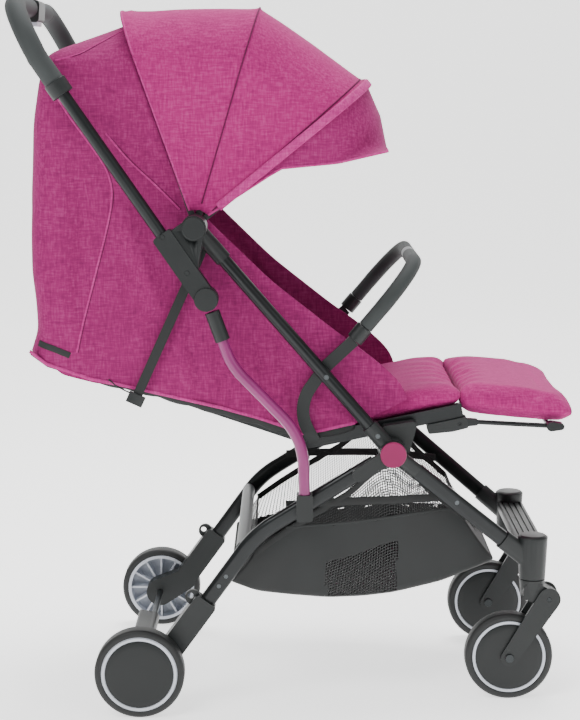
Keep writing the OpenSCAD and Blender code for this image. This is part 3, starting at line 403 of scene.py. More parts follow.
def grid_faces(rows, columns, wrap_rows=False, wrap_columns=False):
    """Quads between neighbours of a rows x columns grid of points."""
    i = np.arange(rows if wrap_rows else rows - 1)
    j = np.arange(columns if wrap_columns else columns - 1)
    i, j = (a.ravel() for a in np.meshgrid(i, j, indexing="ij"))
    i1, j1 = (i + 1) % rows, (j + 1) % columns
    return np.stack([i * columns + j, i1 * columns + j, i1 * columns + j1, i * columns + j1], axis=1)


def outward(piece, merge_mm=0.01):
    """Merges doubles and turns every face outwards."""
    work = bmesh.new()
    work.from_mesh(piece.data)
    bmesh.ops.remove_doubles(work, verts=work.verts, dist=merge_mm / 1000)
    bmesh.ops.recalc_face_normals(work, faces=work.faces)
    work.to_mesh(piece.data)
    work.free()
    return piece


def turned(name, profile, centre, axis_sign, material, steps=96):
    """A profile of (radius, along) points in mm, turned about a cross axle through centre (metres)."""
    profile = np.asarray(profile, float)
    a = np.linspace(0, 2 * np.pi, steps, endpoint=False)[:, None]
    r, s = profile[:, 0][None, :] / 1000, profile[:, 1][None, :] / 1000
    y = np.broadcast_to(centre[1] + axis_sign * s, (steps, len(profile)))
    points = np.stack([centre[0] + r * np.cos(a), y, centre[2] + r * np.sin(a)], axis=-1).reshape(-1, 3)
    piece = mesh_piece(name, points, grid_faces(steps, len(profile), wrap_rows=True), [material])
    return outward(piece)


def wheel_face(tag, tyre, body, side):
    """The ring and disc on one face of a wheel; side is +1 for its left face."""
    low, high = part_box(tyre)
    centre = [(low[0] + high[0]) / 2, high[1] if side > 0 else low[1], (low[2] + high[2]) / 2]
    radius = (high[2] - low[2]) / 2 * 1000
    rim = radius - 10
    ring = [(rim - 5.4, -2.6), (rim - 5.4, -0.6), (rim - 4.6, 0.2), (rim - 2.2, 0.5), (rim - 1.1, 0.1),
            (rim - 1.1, -2.6), (rim - 5.4, -2.6)]
    disc = [(0, 2.0), (10, 1.95), (20, 1.8), (30, 1.5), (40, 1.0), (rim - 8, 0.3), (rim - 6, -0.4),
            (rim - 5.8, -2.6), (0, -2.6)]
    for word, profile, material, slot in (("ring", ring, pale_plastic, "light_grey"),
                                          ("disc", disc, wheel_dark, "plastic_black")):
        piece = turned(f"wheel_{word}_{tag}", profile, centre, side, material)
        piece.data.set_sharp_from_angle(angle=math.radians(35))
        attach(piece, body)


for where in ("left", "right"):
    out = 1 if where == "left" else -1
    wheel_face(f"rear_{where}", f"rear_tyre_{where}", f"rear_wheel_{where}", out)
    wheel_face(f"front_{where}_outer", f"front_tyre_{where}", f"front_wheel_{where}", out)
    wheel_face(f"front_{where}_inner", f"front_tyre_{where}", f"front_wheel_{where}", -out)
print("wheel faces done")

# %% [markdown]
# The stage is a wide pale floor that rises behind the stroller in one curve, lit by one big soft
# lamp above and one at each side, with an even white sky.

# %% Floor, sky and lamps
profile = np.array([[y, 0.0] for y in np.linspace(-6, 4, 30)]
                   + [[4 + 2.5 * math.sin(a), 2.5 - 2.5 * math.cos(a)] for a in np.linspace(0.05, 1.5, 24)]
                   + [[6.6, 8.0]])
span = np.linspace(-9, 9, 12)
backdrop = np.stack([np.broadcast_to(span[:, None], (12, len(profile))),
                     np.broadcast_to(profile[:, 0], (12, len(profile))),
                     np.broadcast_to(profile[:, 1], (12, len(profile)))], axis=-1).reshape(-1, 3)
paper, _, paper_shader = new_material("studio paper", Roughness=0.9)
paper_shader.inputs["Base Color"].default_value = linear("#FBFBFA")
paper_shader.inputs["Emission Color"].default_value = (1, 1, 1, 1)
paper_shader.inputs["Emission Strength"].default_value = 1.3
floor = mesh_piece("studio_floor", backdrop, grid_faces(12, len(profile))[:, ::-1], [paper])

world = bpy.data.worlds.new("studio") if bpy.context.scene.world is None else bpy.context.scene.world
bpy.context.scene.world = world
world.use_nodes = True
world.node_tree.nodes["Background"].inputs["Color"].default_value = (1, 1, 1, 1)
world.node_tree.nodes["Background"].inputs["Strength"].default_value = 0.45


def lamp(name, place, target, size, power):
    """A square area lamp at place that faces target."""
    data = bpy.data.lights.new(name, "AREA")
    data.shape, data.size, data.energy = "SQUARE", size, power
    obj = collection_add(bpy.data.objects.new(name, data))
    obj.location = place
    obj.rotation_euler = (Vector(target) - Vector(place)).to_track_quat("-Z", "Y").to_euler()
    return obj


lamp("key", (-1.6, -2.2, 3.2), (0, 0, 0.5), 1.8, 80)
lamp("fill", (2.6, -2.4, 1.6), (0, 0, 0.5), 2.0, 24)
lamp("top", (0.2, 0.6, 3.4), (0, 0, 0.5), 1.6, 120)

# %% [markdown]
# Cloth pieces share a few tools. A grid of points becomes a closed skin of cloth thickness. A
# section carried along a path makes webbing, piping and hems. Small smooth waves and a few
# tension folds keep cloth from looking like sheet metal.

# %% Cloth tools


def freeze(piece):
    """Applies a piece's modifiers to its mesh."""
    graph = bpy.context.evaluated_depsgraph_get()
    mesh = bpy.data.meshes.new_from_object(piece.evaluated_get(graph))
    piece.modifiers.clear()
    piece.data = mesh
    return piece


def area_of(points):
    """The area in square metres of a grid of points in metres: half the diagonals' cross product."""
    a = points[1:, 1:] - points[:-1, :-1]
    b = points[1:, :-1] - points[:-1, 1:]
    return float(np.linalg.norm(np.cross(a, b), axis=-1).sum() / 2)


def cloth(name, grid_mm, material, thick_mm=1.6, wrap=False, extra=(), face_material=None):
    """A closed skin on a grid of points in millimetres. Returns the piece and its cut area."""
    points = np.asarray(grid_mm, float) / 1000
    rows, columns = points.shape[:2]
    if wrap:
        area = area_of(np.concatenate([points, points[:1]]))
    else:
        area = area_of(points)
    step_u = np.r_[0, np.cumsum(np.linalg.norm(np.diff(points, axis=0), axis=-1).mean(axis=1))]
    step_v = np.concatenate([np.zeros((rows, 1)), np.cumsum(np.linalg.norm(np.diff(points, axis=1), axis=-1),
                                                           axis=1)], axis=1)
    uv = np.stack([np.broadcast_to(step_u[:, None], (rows, columns)), step_v], axis=-1).reshape(-1, 2)
    piece = mesh_piece(name, points.reshape(-1, 3), grid_faces(rows, columns, wrap_rows=wrap),
                       [material, *extra], face_material, uv)
    outward(piece)
    skin = piece.modifiers.new("skin", "SOLIDIFY")
    skin.thickness, skin.offset, skin.use_even_offset = thick_mm / 1000, 0.0, False
    return freeze(piece), area


def swept(name, path_mm, normal, section_mm, material, body=None):
    """A closed section, as (across, outward) points, carried along a path; its ends are capped."""
    path = np.asarray(path_mm, float) / 1000
    tangent = np.gradient(path, axis=0)
    tangent /= np.linalg.norm(tangent, axis=1)[:, None]
    normal = np.broadcast_to(np.asarray(normal, float), path.shape)
    across = np.cross(tangent, normal)
    across /= np.linalg.norm(across, axis=1)[:, None]
    outwards = np.cross(across, tangent)
    section = np.asarray(section_mm, float) / 1000
    rings = path[:, None] + section[None, :, :1] * across[:, None]
    rings = rings + section[None, :, 1:] * outwards[:, None]
    middle = rings.mean(axis=1, keepdims=True)
    rings = np.concatenate([np.broadcast_to(middle[:1], rings[:1].shape), rings,
                            np.broadcast_to(middle[-1:], rings[:1].shape)])
    rows, columns = rings.shape[:2]
    piece = mesh_piece(name, rings.reshape(-1, 3), grid_faces(rows, columns, wrap_columns=True), [material])
    outward(piece, 0.002)
    piece.data.set_sharp_from_angle(angle=math.radians(50))
    if body:
        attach(piece, body)
    return piece


def flat_section(width, thick, corner=0.45):
    """A strap's section: a rectangle with small round corners."""
    x, y, r = width / 2, thick / 2, min(corner, thick / 2.01)
    a = np.radians([0, 45, 90])
    pts = [(sx * (x - r) + r * c, sy * (y - r) + r * s)
           for sx, sy, turn in ((1, 1, 0), (-1, 1, 90), (-1, -1, 180), (1, -1, 270))
           for c, s in zip(np.cos(a + np.radians(turn)), np.sin(a + np.radians(turn)))]
    return np.array(pts)


def round_section(diameter, n=10):
    """A circle of points."""
    a = np.linspace(0, 2 * np.pi, n, endpoint=False)
    return np.stack([np.cos(a), np.sin(a)], axis=1) * diameter / 2


def ripple(u, v, size=90.0, height=0.8):
    """A quiet uneven surface: five sine waves at turned directions, with fixed phases."""
    total = 0
    waves = ((12, 0.3, 1.0), (71, 1.9, 0.8), (128, 4.1, 1.3), (33, 2.2, 0.55), (160, 5.0, 0.7))
    for k, (turn, phase, scale) in enumerate(waves):
        d = direction(turn)
        total = total + np.sin((u * d[0] + v * d[1]) * 2 * np.pi / (size * scale) + phase) / (k + 1.5)
    return height * total


def crease(x, z, a, b, width, height):
    """A soft ridge along the segment a to b: a bell curve of the distance, fading at both ends."""
    a, b = np.asarray(a, float), np.asarray(b, float)
    d = b - a
    t = np.clip(((x - a[0]) * d[0] + (z - a[1]) * d[1]) / (d @ d), 0, 1)
    gap = np.hypot(x - a[0] - t * d[0], z - a[1] - t * d[1])
    return height * np.exp(-((gap / width) ** 2)) * np.sqrt(np.clip(np.sin(np.pi * (0.04 + 0.92 * t)), 0, 1))


# %% [markdown]
# The seat shell is the deep cloth tub behind the tubes: two sides and a back in one skin. It is
# a patch between three curves of the side view, the bottom hem, the front and top edge, and the
# rear outline, and the same rear outline carries on round the corner and across the back. The
# folds follow the pull between the pivots and the backrest.

# %% Seat shell
BOTTOM = drawn((163, 461), (119, 438), (87, 425), (40, 414), (6, 408), (-19, 420), (-54, 432),
               (-108, 447), (-190, 466), (-238, 477), (-303, 491), (-365, 512), (-389, 531))
TOP = drawn((163, 463), (161, 478), (135, 504.6), (99, 533.8), (59, 561.6), (-37.5, 637.6), (-102, 700),
            (-122.8, 720), (-168, 772), (-249, 1002))
REAR = drawn((-389, 531), (-379, 562), (-381, 604), (-386, 648), (-386, 700), (-383, 776), (-377, 868),
             (-368, 925), (-357, 958), (-343, 966), (-249, 1002))
SIDE_Y = 174.0
SIDE_FOLDS = [
    ((-63.2, -104.5), (-94.8, -177.6), 9, 2.4), ((-25.9, -148.4), (-11.5, -247.8), 10, 2.6),
    ((23, -170.3), (46, -258), 9, -2.2), ((74.7, -170.3), (97.7, -268.3), 9, 2.4),
    ((112.1, -148.4), (146.6, -280), 8, -2.0), ((44.5, -49), (195.4, -250.7), 9, 2.2),
    ((-106.3, 19.7), (-48.9, -133.8), 14, 2.6), ((-192.6, 144), (-204.1, -104.5), 16, 2.0),
    ((-158.1, 34.4), (-172.4, -148.4), 12, -2.2), ((-92, 246.3), (-63.2, 85.5), 12, -1.8),
    ((-123.6, 217.1), (-109.2, 56.3), 10, 2.0), ((152.3, -243.4), (224.2, -287.3), 8, 2.0),
    ((-77.6, -16.8), (-106.3, -104.5), 10, -2.0),
]


def side_y(z):
    """The cloth's distance from the middle plane: it flares out to the canopy above the pivot."""
    return SIDE_Y + 15 * smooth(z, PIVOT[1] + 30, PIVOT[1] + 160)


def seat_shell_grid(side_steps=84, corner_steps=9, back_steps=44, height_steps=96):
    """Columns run from the left front edge round the back to the right one; rows run upwards."""
    v = np.linspace(0, 1, height_steps)
    u = np.linspace(0, 1, side_steps)
    low, high = along(BOTTOM, side_steps), rounded_path(TOP, side_steps, 6)
    rear = rounded_path(REAR, height_steps, 3)
    side = low[:, None] * (1 - v)[None, :, None] + high[:, None] * v[None, :, None]
    line = low[-1] * (1 - v[:, None]) + high[-1] * v[:, None]
    side = side + (u**2)[:, None, None] * (rear - line)[None]
    corner = 30 + 50 * smooth(v, 0.78, 1.0)
    inward = side[-8] - rear
    inward /= np.linalg.norm(inward, axis=1)[:, None]
    side = side + (smooth(u, 0.72, 1.0)[:, None] * corner[None])[..., None] * inward[None]
    x, z = side[..., 0], side[..., 1]
    y = side_y(z)
    bump = ripple(x, z, 110, 1.2)
    for a, b, width, height in SIDE_FOLDS:
        bump = bump + crease(x, z, *from_pivot(a, b), width, 2.1 * height)
    fade = smooth(u, 0.0, 0.08)[:, None] * (1 - 0.8 * smooth(u, 0.93, 1.0))[:, None]
    left = np.stack([x, y + bump * fade, z], axis=-1)
    phi = np.linspace(0, np.pi / 2, corner_steps + 1)[1:, None]
    edge_y = side_y(rear[:, 1])
    turn = rear[None] + inward[None] * (corner[None] * (1 - np.sin(phi)))[..., None]
    turn_y = edge_y[None] - corner[None] * (1 - np.cos(phi))
    around = np.stack([turn[..., 0], turn_y, turn[..., 1]], axis=-1)
    half = edge_y - corner
    w = np.linspace(1, -1, back_steps + 2)[1:-1, None]
    back_x, back_z = (np.broadcast_to(rear[None, :, k], (back_steps, height_steps)) for k in (0, 1))
    back_bump = ripple(w * half[None], back_z, 120, 1.6) + 2.0 * np.sin(np.pi * v)[None] * (1 - w**2)
    middle = np.stack([back_x - back_bump, w * half[None], back_z], axis=-1)
    flip = np.array([1, -1, 1])
    return np.concatenate([left, around, middle, around[::-1] * flip, left[::-1] * flip])


shell_grid = seat_shell_grid()
# The shell wears the darker copy of the cover cloth: painted shade.
seat_shell, shell_area = cloth("seat_shell", shell_grid, shaded_cover_cloth, 1.8)
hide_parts("side_panels", "rear_panel")
print("seat shell", round(shell_area, 3), "m2")

# %% [markdown]
# The shell hangs between the chassis at the front tube and the backrest behind it. Its placement is baked into its
# mesh, and everything sewn to the shell is treated the same way.


def bend_with_shell(piece):
    """Bakes a piece's placement into its mesh."""
    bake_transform(piece)


bend_with_shell(seat_shell)

# %% [markdown]
# Seams on the shell are the stitched joins of its panels: a thin raised cord of folded cloth, drawn a shade
# lighter than the cover as a painted highlight, with a darker strip beside it as a painted shadow. A ray from the
# side finds the cloth under each point, so that a seam lies on it and not in it.

# %% Seams and hem of the shell


def surface_tree(piece):
    """A search tree of a piece's mesh."""
    work = bmesh.new()
    work.from_mesh(piece.data)
    tree = BVHTree.FromBMesh(work)
    work.free()
    return tree


def on_side(tree, path, side, lift=0.3):
    """Side-view points laid on the cloth by rays along the cross axis, lifted a little."""
    out = []
    for x, z in path:
        hit, *_ = tree.ray_cast(Vector((x / 1000, side * 0.4, z / 1000)), Vector((0, -side, 0)))
        if hit is not None:
            out.append((x, hit.y * 1000 + side * lift, z))
    return np.array(out)


shell_tree = surface_tree(seat_shell)
SEAMS = {
    "flap": [
        (-198.3, 187.9), (-183.9, 161.6), (-152.3, 120.6), (-127.9, 85.5), (-116.4, 62.1), (-117.8, 41.7),
        (-125, 9.5), (-136.5, -34.4), (-155.2, -104.5), (-166.7, -145.5), (-175.3, -186.4),
    ],
    "skirt": [(-126.5, 132.3), (-93.4, 91.4), (-56, 56.3), (-23, 22.7)],
    "top_fold": [(-198.3, 234.7), (-163.8, 243.4), (-129.3, 263.9), (-103.5, 278.5)],
}
for word, path in SEAMS.items():
    curve = rounded_path(from_pivot(*path), 60, 25)
    for tag, side in (("left", 1), ("right", -1)):
        laid = on_side(shell_tree, curve, side)
        if len(laid) > 10:
            seam = swept(f"shell_seam_{word}_{tag}", laid, (0, side, 0), flat_section(2.8, 1.2, 0.5),
                         binding_and_highlight_cloth)
            bend_with_shell(seam)
            # A darker strip beside each seam: a painted shadow of the raised cord.
            shade = swept(f"shell_fold_{word}_{tag}", laid + np.array([2.0, -side * 0.2, 0]), (0, side, 0),
                          flat_section(1.8, 0.9, 0.4), shadow_cloth)
            bend_with_shell(shade)

hem_line = along(BOTTOM[2:], 150)
for tag, side in (("left", 1), ("right", -1)):
    s = np.linspace(0, 1, 150)
    scallops = 2.8 * np.abs(np.sin(s * math.pi * 10))
    drop = (3 + 6 * smooth(1 - s, 0.3, 0.65) + scallops) * smooth(1 - s, 0.1, 0.3)
    top_edge = np.stack([hem_line[:, 0], np.full(150, side * (SIDE_Y - 1.5)), hem_line[:, 1] + 3], axis=-1)
    low_edge = np.stack([hem_line[:, 0], np.full(150, side * (SIDE_Y - 4.0)), hem_line[:, 1] - drop], axis=-1)
    rows = np.linspace(0, 1, 7)[:, None, None]
    grid = top_edge[None] * (1 - rows) + low_edge[None] * rows
    grid[..., 1] += side * 1.8 * np.sin(np.pi * rows[..., 0])
    hem, hem_area = cloth(f"shell_hem_{tag}", grid, black_cloth, 1.4)
    bend_with_shell(hem)
    bound = np.stack([hem_line[:, 0], np.full(150, side * (SIDE_Y + 1.0)), hem_line[:, 1] + 1.5], axis=-1)
    binding = swept(f"shell_binding_{tag}", bound, (0, side, 0), flat_section(5.0, 3.0, 1.4), binding_and_highlight_cloth)
    bend_with_shell(binding)
    vent_line = along(from_pivot((-231.4, -173.2), (-209.8, -180.6), (-185.4, -190.8)), 30)
    vent = swept(f"shell_vent_{tag}", on_side(shell_tree, vent_line, side, 0.6), (0, side, 0),
                 flat_section(9, 1.4, 0.6), black_cloth)
    bend_with_shell(vent)

under = along(BOTTOM[3:], 60)
w = np.linspace(-1, 1, 40)
belly = 4 * (1 - w[None] ** 2) * np.sin(np.pi * np.linspace(0, 1, 60))[:, None]
under_z = under[:, None, 1] - 3.5 - belly + ripple(under[:, None, 0], w[None] * 170, 100, 0.8)
under_grid = np.stack([np.broadcast_to(under[:, None, 0], (60, 40)),
                       np.broadcast_to(w[None] * (SIDE_Y - 6), (60, 40)), under_z], axis=-1)
lining, lining_area = cloth("backrest_lining", under_grid, black_cloth, 1.4)
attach(lining, "backrest")
print("shell trim done")

# %% [markdown]
# The canopy is one skin over three bows. Each row is a U-shaped section at one angle about the
# fold pivot: up the side, round the corner and across. Between the bows the top runs nearly
# straight, and in front of the front bow it becomes a stiff visor whose lower edge runs back
# to the bow.

# %% Canopy
REAR_A, MID_A, FRONT_A, TIP_A = 110.0, 73.5, 39.0, 21.0
TOP_LINE = np.array([326 * direction(110), 309 * direction(91), 323 * direction(MID_A),
                     309 * direction(56), 320 * direction(FRONT_A), 311 * direction(30) * 0.998,
                     298 * direction(TIP_A)])
LOW_LINE = np.array([24 * direction(110), 24 * direction(74), 24 * direction(FRONT_A), (122, 82), (205, 90),
                     298 * direction(TIP_A)])
CORNER = 92.0


def radius_at(line, angles):
    """The distance from the pivot to a polyline along rays at the given angles."""
    fine = along(line, 4000)
    a = np.degrees(np.arctan2(fine[:, 1], fine[:, 0]))
    order = np.argsort(a)
    return np.interp(angles, a[order], np.hypot(fine[:, 0], fine[:, 1])[order])


def canopy_section(angles, lift=0.0, side_steps=22, corner_steps=16, top_steps=16):
    """For each angle, the half section from the side's lower edge to the middle of the top."""
    angles = np.atleast_1d(np.asarray(angles, float))
    top, low = radius_at(TOP_LINE, angles), radius_at(LOW_LINE, angles)
    low = np.minimum(low, top - 0.5)
    half = 193.5 - 7.5 * smooth(-angles, -REAR_A, -FRONT_A)
    tall = np.minimum(CORNER, top - low)
    t = np.linspace(0, 1, side_steps, endpoint=False)[None]
    phi = np.linspace(0, np.pi / 2, corner_steps)[None]
    s = np.linspace(0, 1, top_steps + 1)[None, 1:]
    one = np.ones_like
    r = np.concatenate([low[:, None] + (top - tall - low)[:, None] * t,
                        top[:, None] - tall[:, None] * (1 - np.sin(phi)), top[:, None] * one(s)], axis=1)
    y = np.concatenate([half[:, None] * one(t), half[:, None] - CORNER * (1 - np.cos(phi)),
                        (half[:, None] - CORNER) * (1 - s)], axis=1)
    ny = np.concatenate([one(t), np.cos(phi), 0 * s], axis=1) * one(half[:, None])
    nr = np.concatenate([0 * t, np.sin(phi), one(s)], axis=1) * one(half[:, None])
    a = angles[:, None]
    in_rear = np.clip((REAR_A - a) / (REAR_A - MID_A), 0, 1)
    in_front = np.clip((MID_A - a) / (MID_A - FRONT_A), 0, 1)
    front_slack = np.where(a > FRONT_A, np.sin(np.pi * in_front), 0)
    slack = np.where(a > MID_A, np.sin(np.pi * in_rear), front_slack) ** 2
    welt = sum(np.exp(-(((a - b) * np.radians(1) * np.maximum(r, 60) / 3.4) ** 2))
               for b in (MID_A, FRONT_A, 107.5))
    reach = smooth(r, 30, 140)
    folds = 1.4 * np.sin(np.radians(a) * 26) * (1 - smooth(r, 40, 190)) * ny
    push = lift + 1.5 * welt * reach - 3.0 * slack * ny * reach + folds * reach
    push = push + ripple(r * np.cos(np.radians(a)) + y, r * np.sin(np.radians(a)) - 0.6 * y, 120, 0.9) * reach
    r, y = r + push * nr, y + push * ny
    return np.stack([PIVOT[0] + r * np.cos(np.radians(a)), y, PIVOT[1] + r * np.sin(np.radians(a))], axis=-1)


def whole_section(half_section):
    """A half section and its mirror image, as one row from right to left."""
    return np.concatenate([half_section * np.array([1, -1, 1]), half_section[:, ::-1][:, 1:]], axis=1)


rows_a = np.concatenate([np.linspace(REAR_A, MID_A, 44)[:-1], np.linspace(MID_A, FRONT_A, 42)[:-1],
                         np.linspace(FRONT_A, TIP_A + 0.05, 30)])
canopy_grid = whole_section(canopy_section(rows_a))
# The visor's faces get the darker copy of the cover cloth: painted shade, as the visor faces down and away from
# the light.
visor_faces = np.repeat(np.arange(len(rows_a) - 1) >= len(rows_a) - 30, canopy_grid.shape[1] - 1).astype(int)
canopy, canopy_area = cloth("canopy", canopy_grid, cover_cloth, 1.8, extra=[shaded_cover_cloth],
                            face_material=visor_faces)
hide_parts("canopy_fabric")


def bend_with_canopy(piece):
    """Bakes a piece's placement into its mesh."""
    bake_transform(piece)


bend_with_canopy(canopy)
print("canopy", round(canopy_area, 3), "m2")

# %% [markdown]
# Three trims finish the canopy: a flat band over the front bow, a rolled hem along the visor's
# edge and the front opening, and a hem where the canopy meets the seat shell.

# %% Canopy trim
band_path = whole_section(canopy_section([FRONT_A], lift=1.9))[0]
keep = np.linalg.norm(band_path[:, [0, 2]] - PIVOT, axis=1) > 34
band_path = along(band_path[keep], 170)
centre_point = np.array([PIVOT[0], 0.0, PIVOT[1] + 20])
band_normal = band_path - centre_point
band_normal[:, 1] *= 3
bow_plane = np.array([-math.sin(math.radians(FRONT_A)), 0, math.cos(math.radians(FRONT_A))])
band_normal -= np.outer(band_normal @ bow_plane, bow_plane)
band_normal /= np.linalg.norm(band_normal, axis=1)[:, None]
band = swept("canopy_band", band_path, band_normal, flat_section(13, 5.6, 2.7), binding_and_highlight_cloth)
bend_with_canopy(band)
# The lines along the mid and front bows are drawn in the painted-shadow cloth: painted shade at the stitched
# channels.
for tag, angle, lift in (("mid", MID_A, 1.4), ("front", FRONT_A + 2.1, 1.2)):
    line = along(whole_section(canopy_section([angle], lift=lift))[0][1:-1], 200)
    seam = swept(f"canopy_seam_painted_shadow_{tag}", line, (line - centre_point) / 300, flat_section(2.2, 1.2, 0.5),
                 shadow_cloth)
    bend_with_canopy(seam)

edge = canopy_grid[:, 0][len(rows_a) - 30 :]
tip = canopy_grid[-1]
rim = np.concatenate([edge[:-1], tip, (edge * np.array([1, -1, 1]))[::-1][1:]])
rim = along(rim, 260)
visor_hem = swept("visor_hem", rim, (0.35, 0, -0.94), round_section(3.6), binding_and_highlight_cloth)
bend_with_canopy(visor_hem)
rear_path = along(whole_section(canopy_section([REAR_A - 0.4], lift=0.4))[0], 200)
rear_out = direction(REAR_A)
rear_hem = swept("canopy_rear_hem", rear_path, (rear_out[0], 0.2, rear_out[1]), round_section(3.2),
                 binding_and_highlight_cloth)
bend_with_canopy(rear_hem)

# %% [markdown]
# The pads are covers round foam. Each starts as a plain closed form a little smaller than its
# place. A voxel remesh gives it even faces, a short cloth simulation blows it up like a balloon
# so that it crowns and its sides pull in, and the move of each point is capped. Sewn lines are
# pressed in afterwards, because the remesh would lose them.

# %% Pads


def pad_form(name, outline_mm, half_mm, round_mm, material):
    """A closed side-view outline carried across, drawn in by a quarter circle at both ends."""
    ring = along(np.vstack([outline_mm, outline_mm[:1]]), 121)[:-1]
    ring = sum(np.roll(ring, k, axis=0) for k in (-2, -1, 0, 1, 2)) / 5
    ahead = np.roll(ring, -1, axis=0) - np.roll(ring, 1, axis=0)
    inward = np.stack([-ahead[:, 1], ahead[:, 0]], axis=1) / np.linalg.norm(ahead, axis=1)[:, None]
    area = np.sum(ring[:, 0] * np.roll(ring[:, 1], -1) - ring[:, 1] * np.roll(ring[:, 0], -1))
    inward *= np.sign(area)
    a = np.linspace(-np.pi / 2, np.pi / 2, 15)
    draw_in = round_mm * (1 - np.cos(a))
    y = np.where(a < 0, -1, 1) * (half_mm - round_mm) + round_mm * np.sin(a)
    rings = ring[None] + inward[None] * draw_in[:, None, None]
    wide = np.broadcast_to(y[:, None], rings.shape[:2])
    points = np.stack([rings[..., 0], wide, rings[..., 1]], axis=-1) / 1000
    caps = [points[0].mean(axis=0), points[-1].mean(axis=0)]
    points = np.concatenate([np.broadcast_to(caps[0], points[:1].shape), points,
                             np.broadcast_to(caps[1], points[:1].shape)])
    faces = grid_faces(len(points), 120, wrap_columns=True)
    piece = mesh_piece(name, points.reshape(-1, 3), faces, [material])
    return outward(piece)


def positions(piece):
    """A piece's vertex positions in metres."""
    out = np.empty(len(piece.data.vertices) * 3)
    piece.data.vertices.foreach_get("co", out)
    return out.reshape(-1, 3)


def place(piece, points):
    """Writes vertex positions back."""
    piece.data.vertices.foreach_set("co", np.asarray(points, np.float64).ravel())
    piece.data.update()


def inflate(piece, voxel_mm=6.0, pressure=4.0, cap_mm=8.0, frames=18):
    """Remeshes, swells by cloth pressure for some frames, caps the move, and shades smooth."""
    remesh = piece.modifiers.new("even", "REMESH")
    remesh.mode, remesh.voxel_size = "VOXEL", voxel_mm / 1000
    freeze(piece)
    before = positions(piece)
    swell = piece.modifiers.new("swell", "CLOTH").settings
    swell.use_pressure, swell.uniform_pressure_force = True, pressure
    swell.effector_weights.gravity = 0.0
    swell.quality, swell.mass = 5, 0.3
    for number in range(1, frames + 1):
        bpy.context.scene.frame_set(number)
    freeze(piece)
    move = positions(piece) - before
    length = np.maximum(np.linalg.norm(move, axis=1), 1e-9)
    place(piece, before + move * np.minimum(1, cap_mm / 1000 / length)[:, None])
    bpy.context.scene.frame_set(1)
    piece.data.polygons.foreach_set("use_smooth", [True] * len(piece.data.polygons))
    return piece


def press(piece, along_axis, origin, lines, depth_mm=3.0, width_mm=5.0, upward=(0, 0, 1)):
    """Presses sewn grooves: along_axis . (p - origin) near a line, or y near a line, moves down."""
    p = positions(piece) * 1000
    s = (p[:, [0, 2]] - origin) @ along_axis
    groove = np.zeros(len(p))
    for kind, value, reach in lines:
        gap = s - value if kind == "s" else p[:, 1] - value
        gone = np.abs(p[:, 1]) if kind == "s" else s
        inside = np.ones(len(p)) if reach is None else smooth(reach[1] - gone, 0, 8)
        groove = np.maximum(groove, np.exp(-((gap / width_mm) ** 2)) * inside)
    place(piece, (p - depth_mm * groove[:, None] * np.asarray(upward)) / 1000)


def subdivide(piece):
    """One level of subdivision, applied."""
    sub = piece.modifiers.new("soft", "SUBSURF")
    sub.levels = sub.render_levels = 1
    return freeze(piece)


RAIL_REAR, RAIL_FRONT = drawn((34, 399), (245, 444))
RAIL_A = math.degrees(math.atan2(*(RAIL_FRONT - RAIL_REAR)[::-1]))
RAIL_LEN = float(np.linalg.norm(RAIL_FRONT - RAIL_REAR))
BACK_A, REST_A = 161.7, -4.0


def on_rail(s, up=0.0):
    return RAIL_REAR + s * direction(RAIL_A) + up * direction(RAIL_A + 90)


def on_back(s, up=0.0):
    return RECLINE + s * direction(BACK_A) + up * direction(BACK_A - 90)


def on_rest(s, up=0.0):
    return REST + s * direction(REST_A) + up * direction(REST_A + 90)


seat_side = np.array([on_rail(20, 11), on_rail(RAIL_LEN - 2, 9), on_rail(RAIL_LEN + 7, 18),
                      on_rail(RAIL_LEN + 4, 29), on_rail(170, 36), on_rail(118, 37), on_rail(20, 36)])
seat = pad_form("seat_cushion", seat_side, 171, 14, cover_cloth)
inflate(seat, cap_mm=6)
subdivide(seat)
press(seat, direction(RAIL_A), RAIL_REAR, [("s", 60, (0, 110))], 2.6, 4.0)
spot = positions(seat) * 1000
forward = (spot[:, [0, 2]] - RAIL_REAR) @ direction(RAIL_A)
fan = np.sin(spot[:, 1] / 7.0 + forward / 26.0 + 1.4 * np.sin(spot[:, 1] / 41))
fan *= np.exp(-(((forward - RAIL_LEN) / 46) ** 2))
spot[:, 2] += 1.5 * fan * smooth(spot[:, 2] - on_rail(RAIL_LEN)[1], -14, 6)
place(seat, spot / 1000)
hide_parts("seat_pad")
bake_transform(seat)

back_side = np.array([on_back(44, 9.5), on_back(416, 9.5), on_back(418, 22), on_back(412, 31),
                      on_back(300, 34), on_back(60, 32), on_back(44, 24)])
back = pad_form("backrest_cushion", back_side[::-1], 164, 13, cover_cloth)
inflate(back, cap_mm=6)
subdivide(back)
sewn = [("y", -100, None), ("y", 100, None), *(("s", s, (0, 98)) for s in (130, 230, 330))]
press(back, direction(BACK_A), RECLINE, sewn, 2.6, 4.0)
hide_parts("backrest_pad")
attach(back, "backrest")

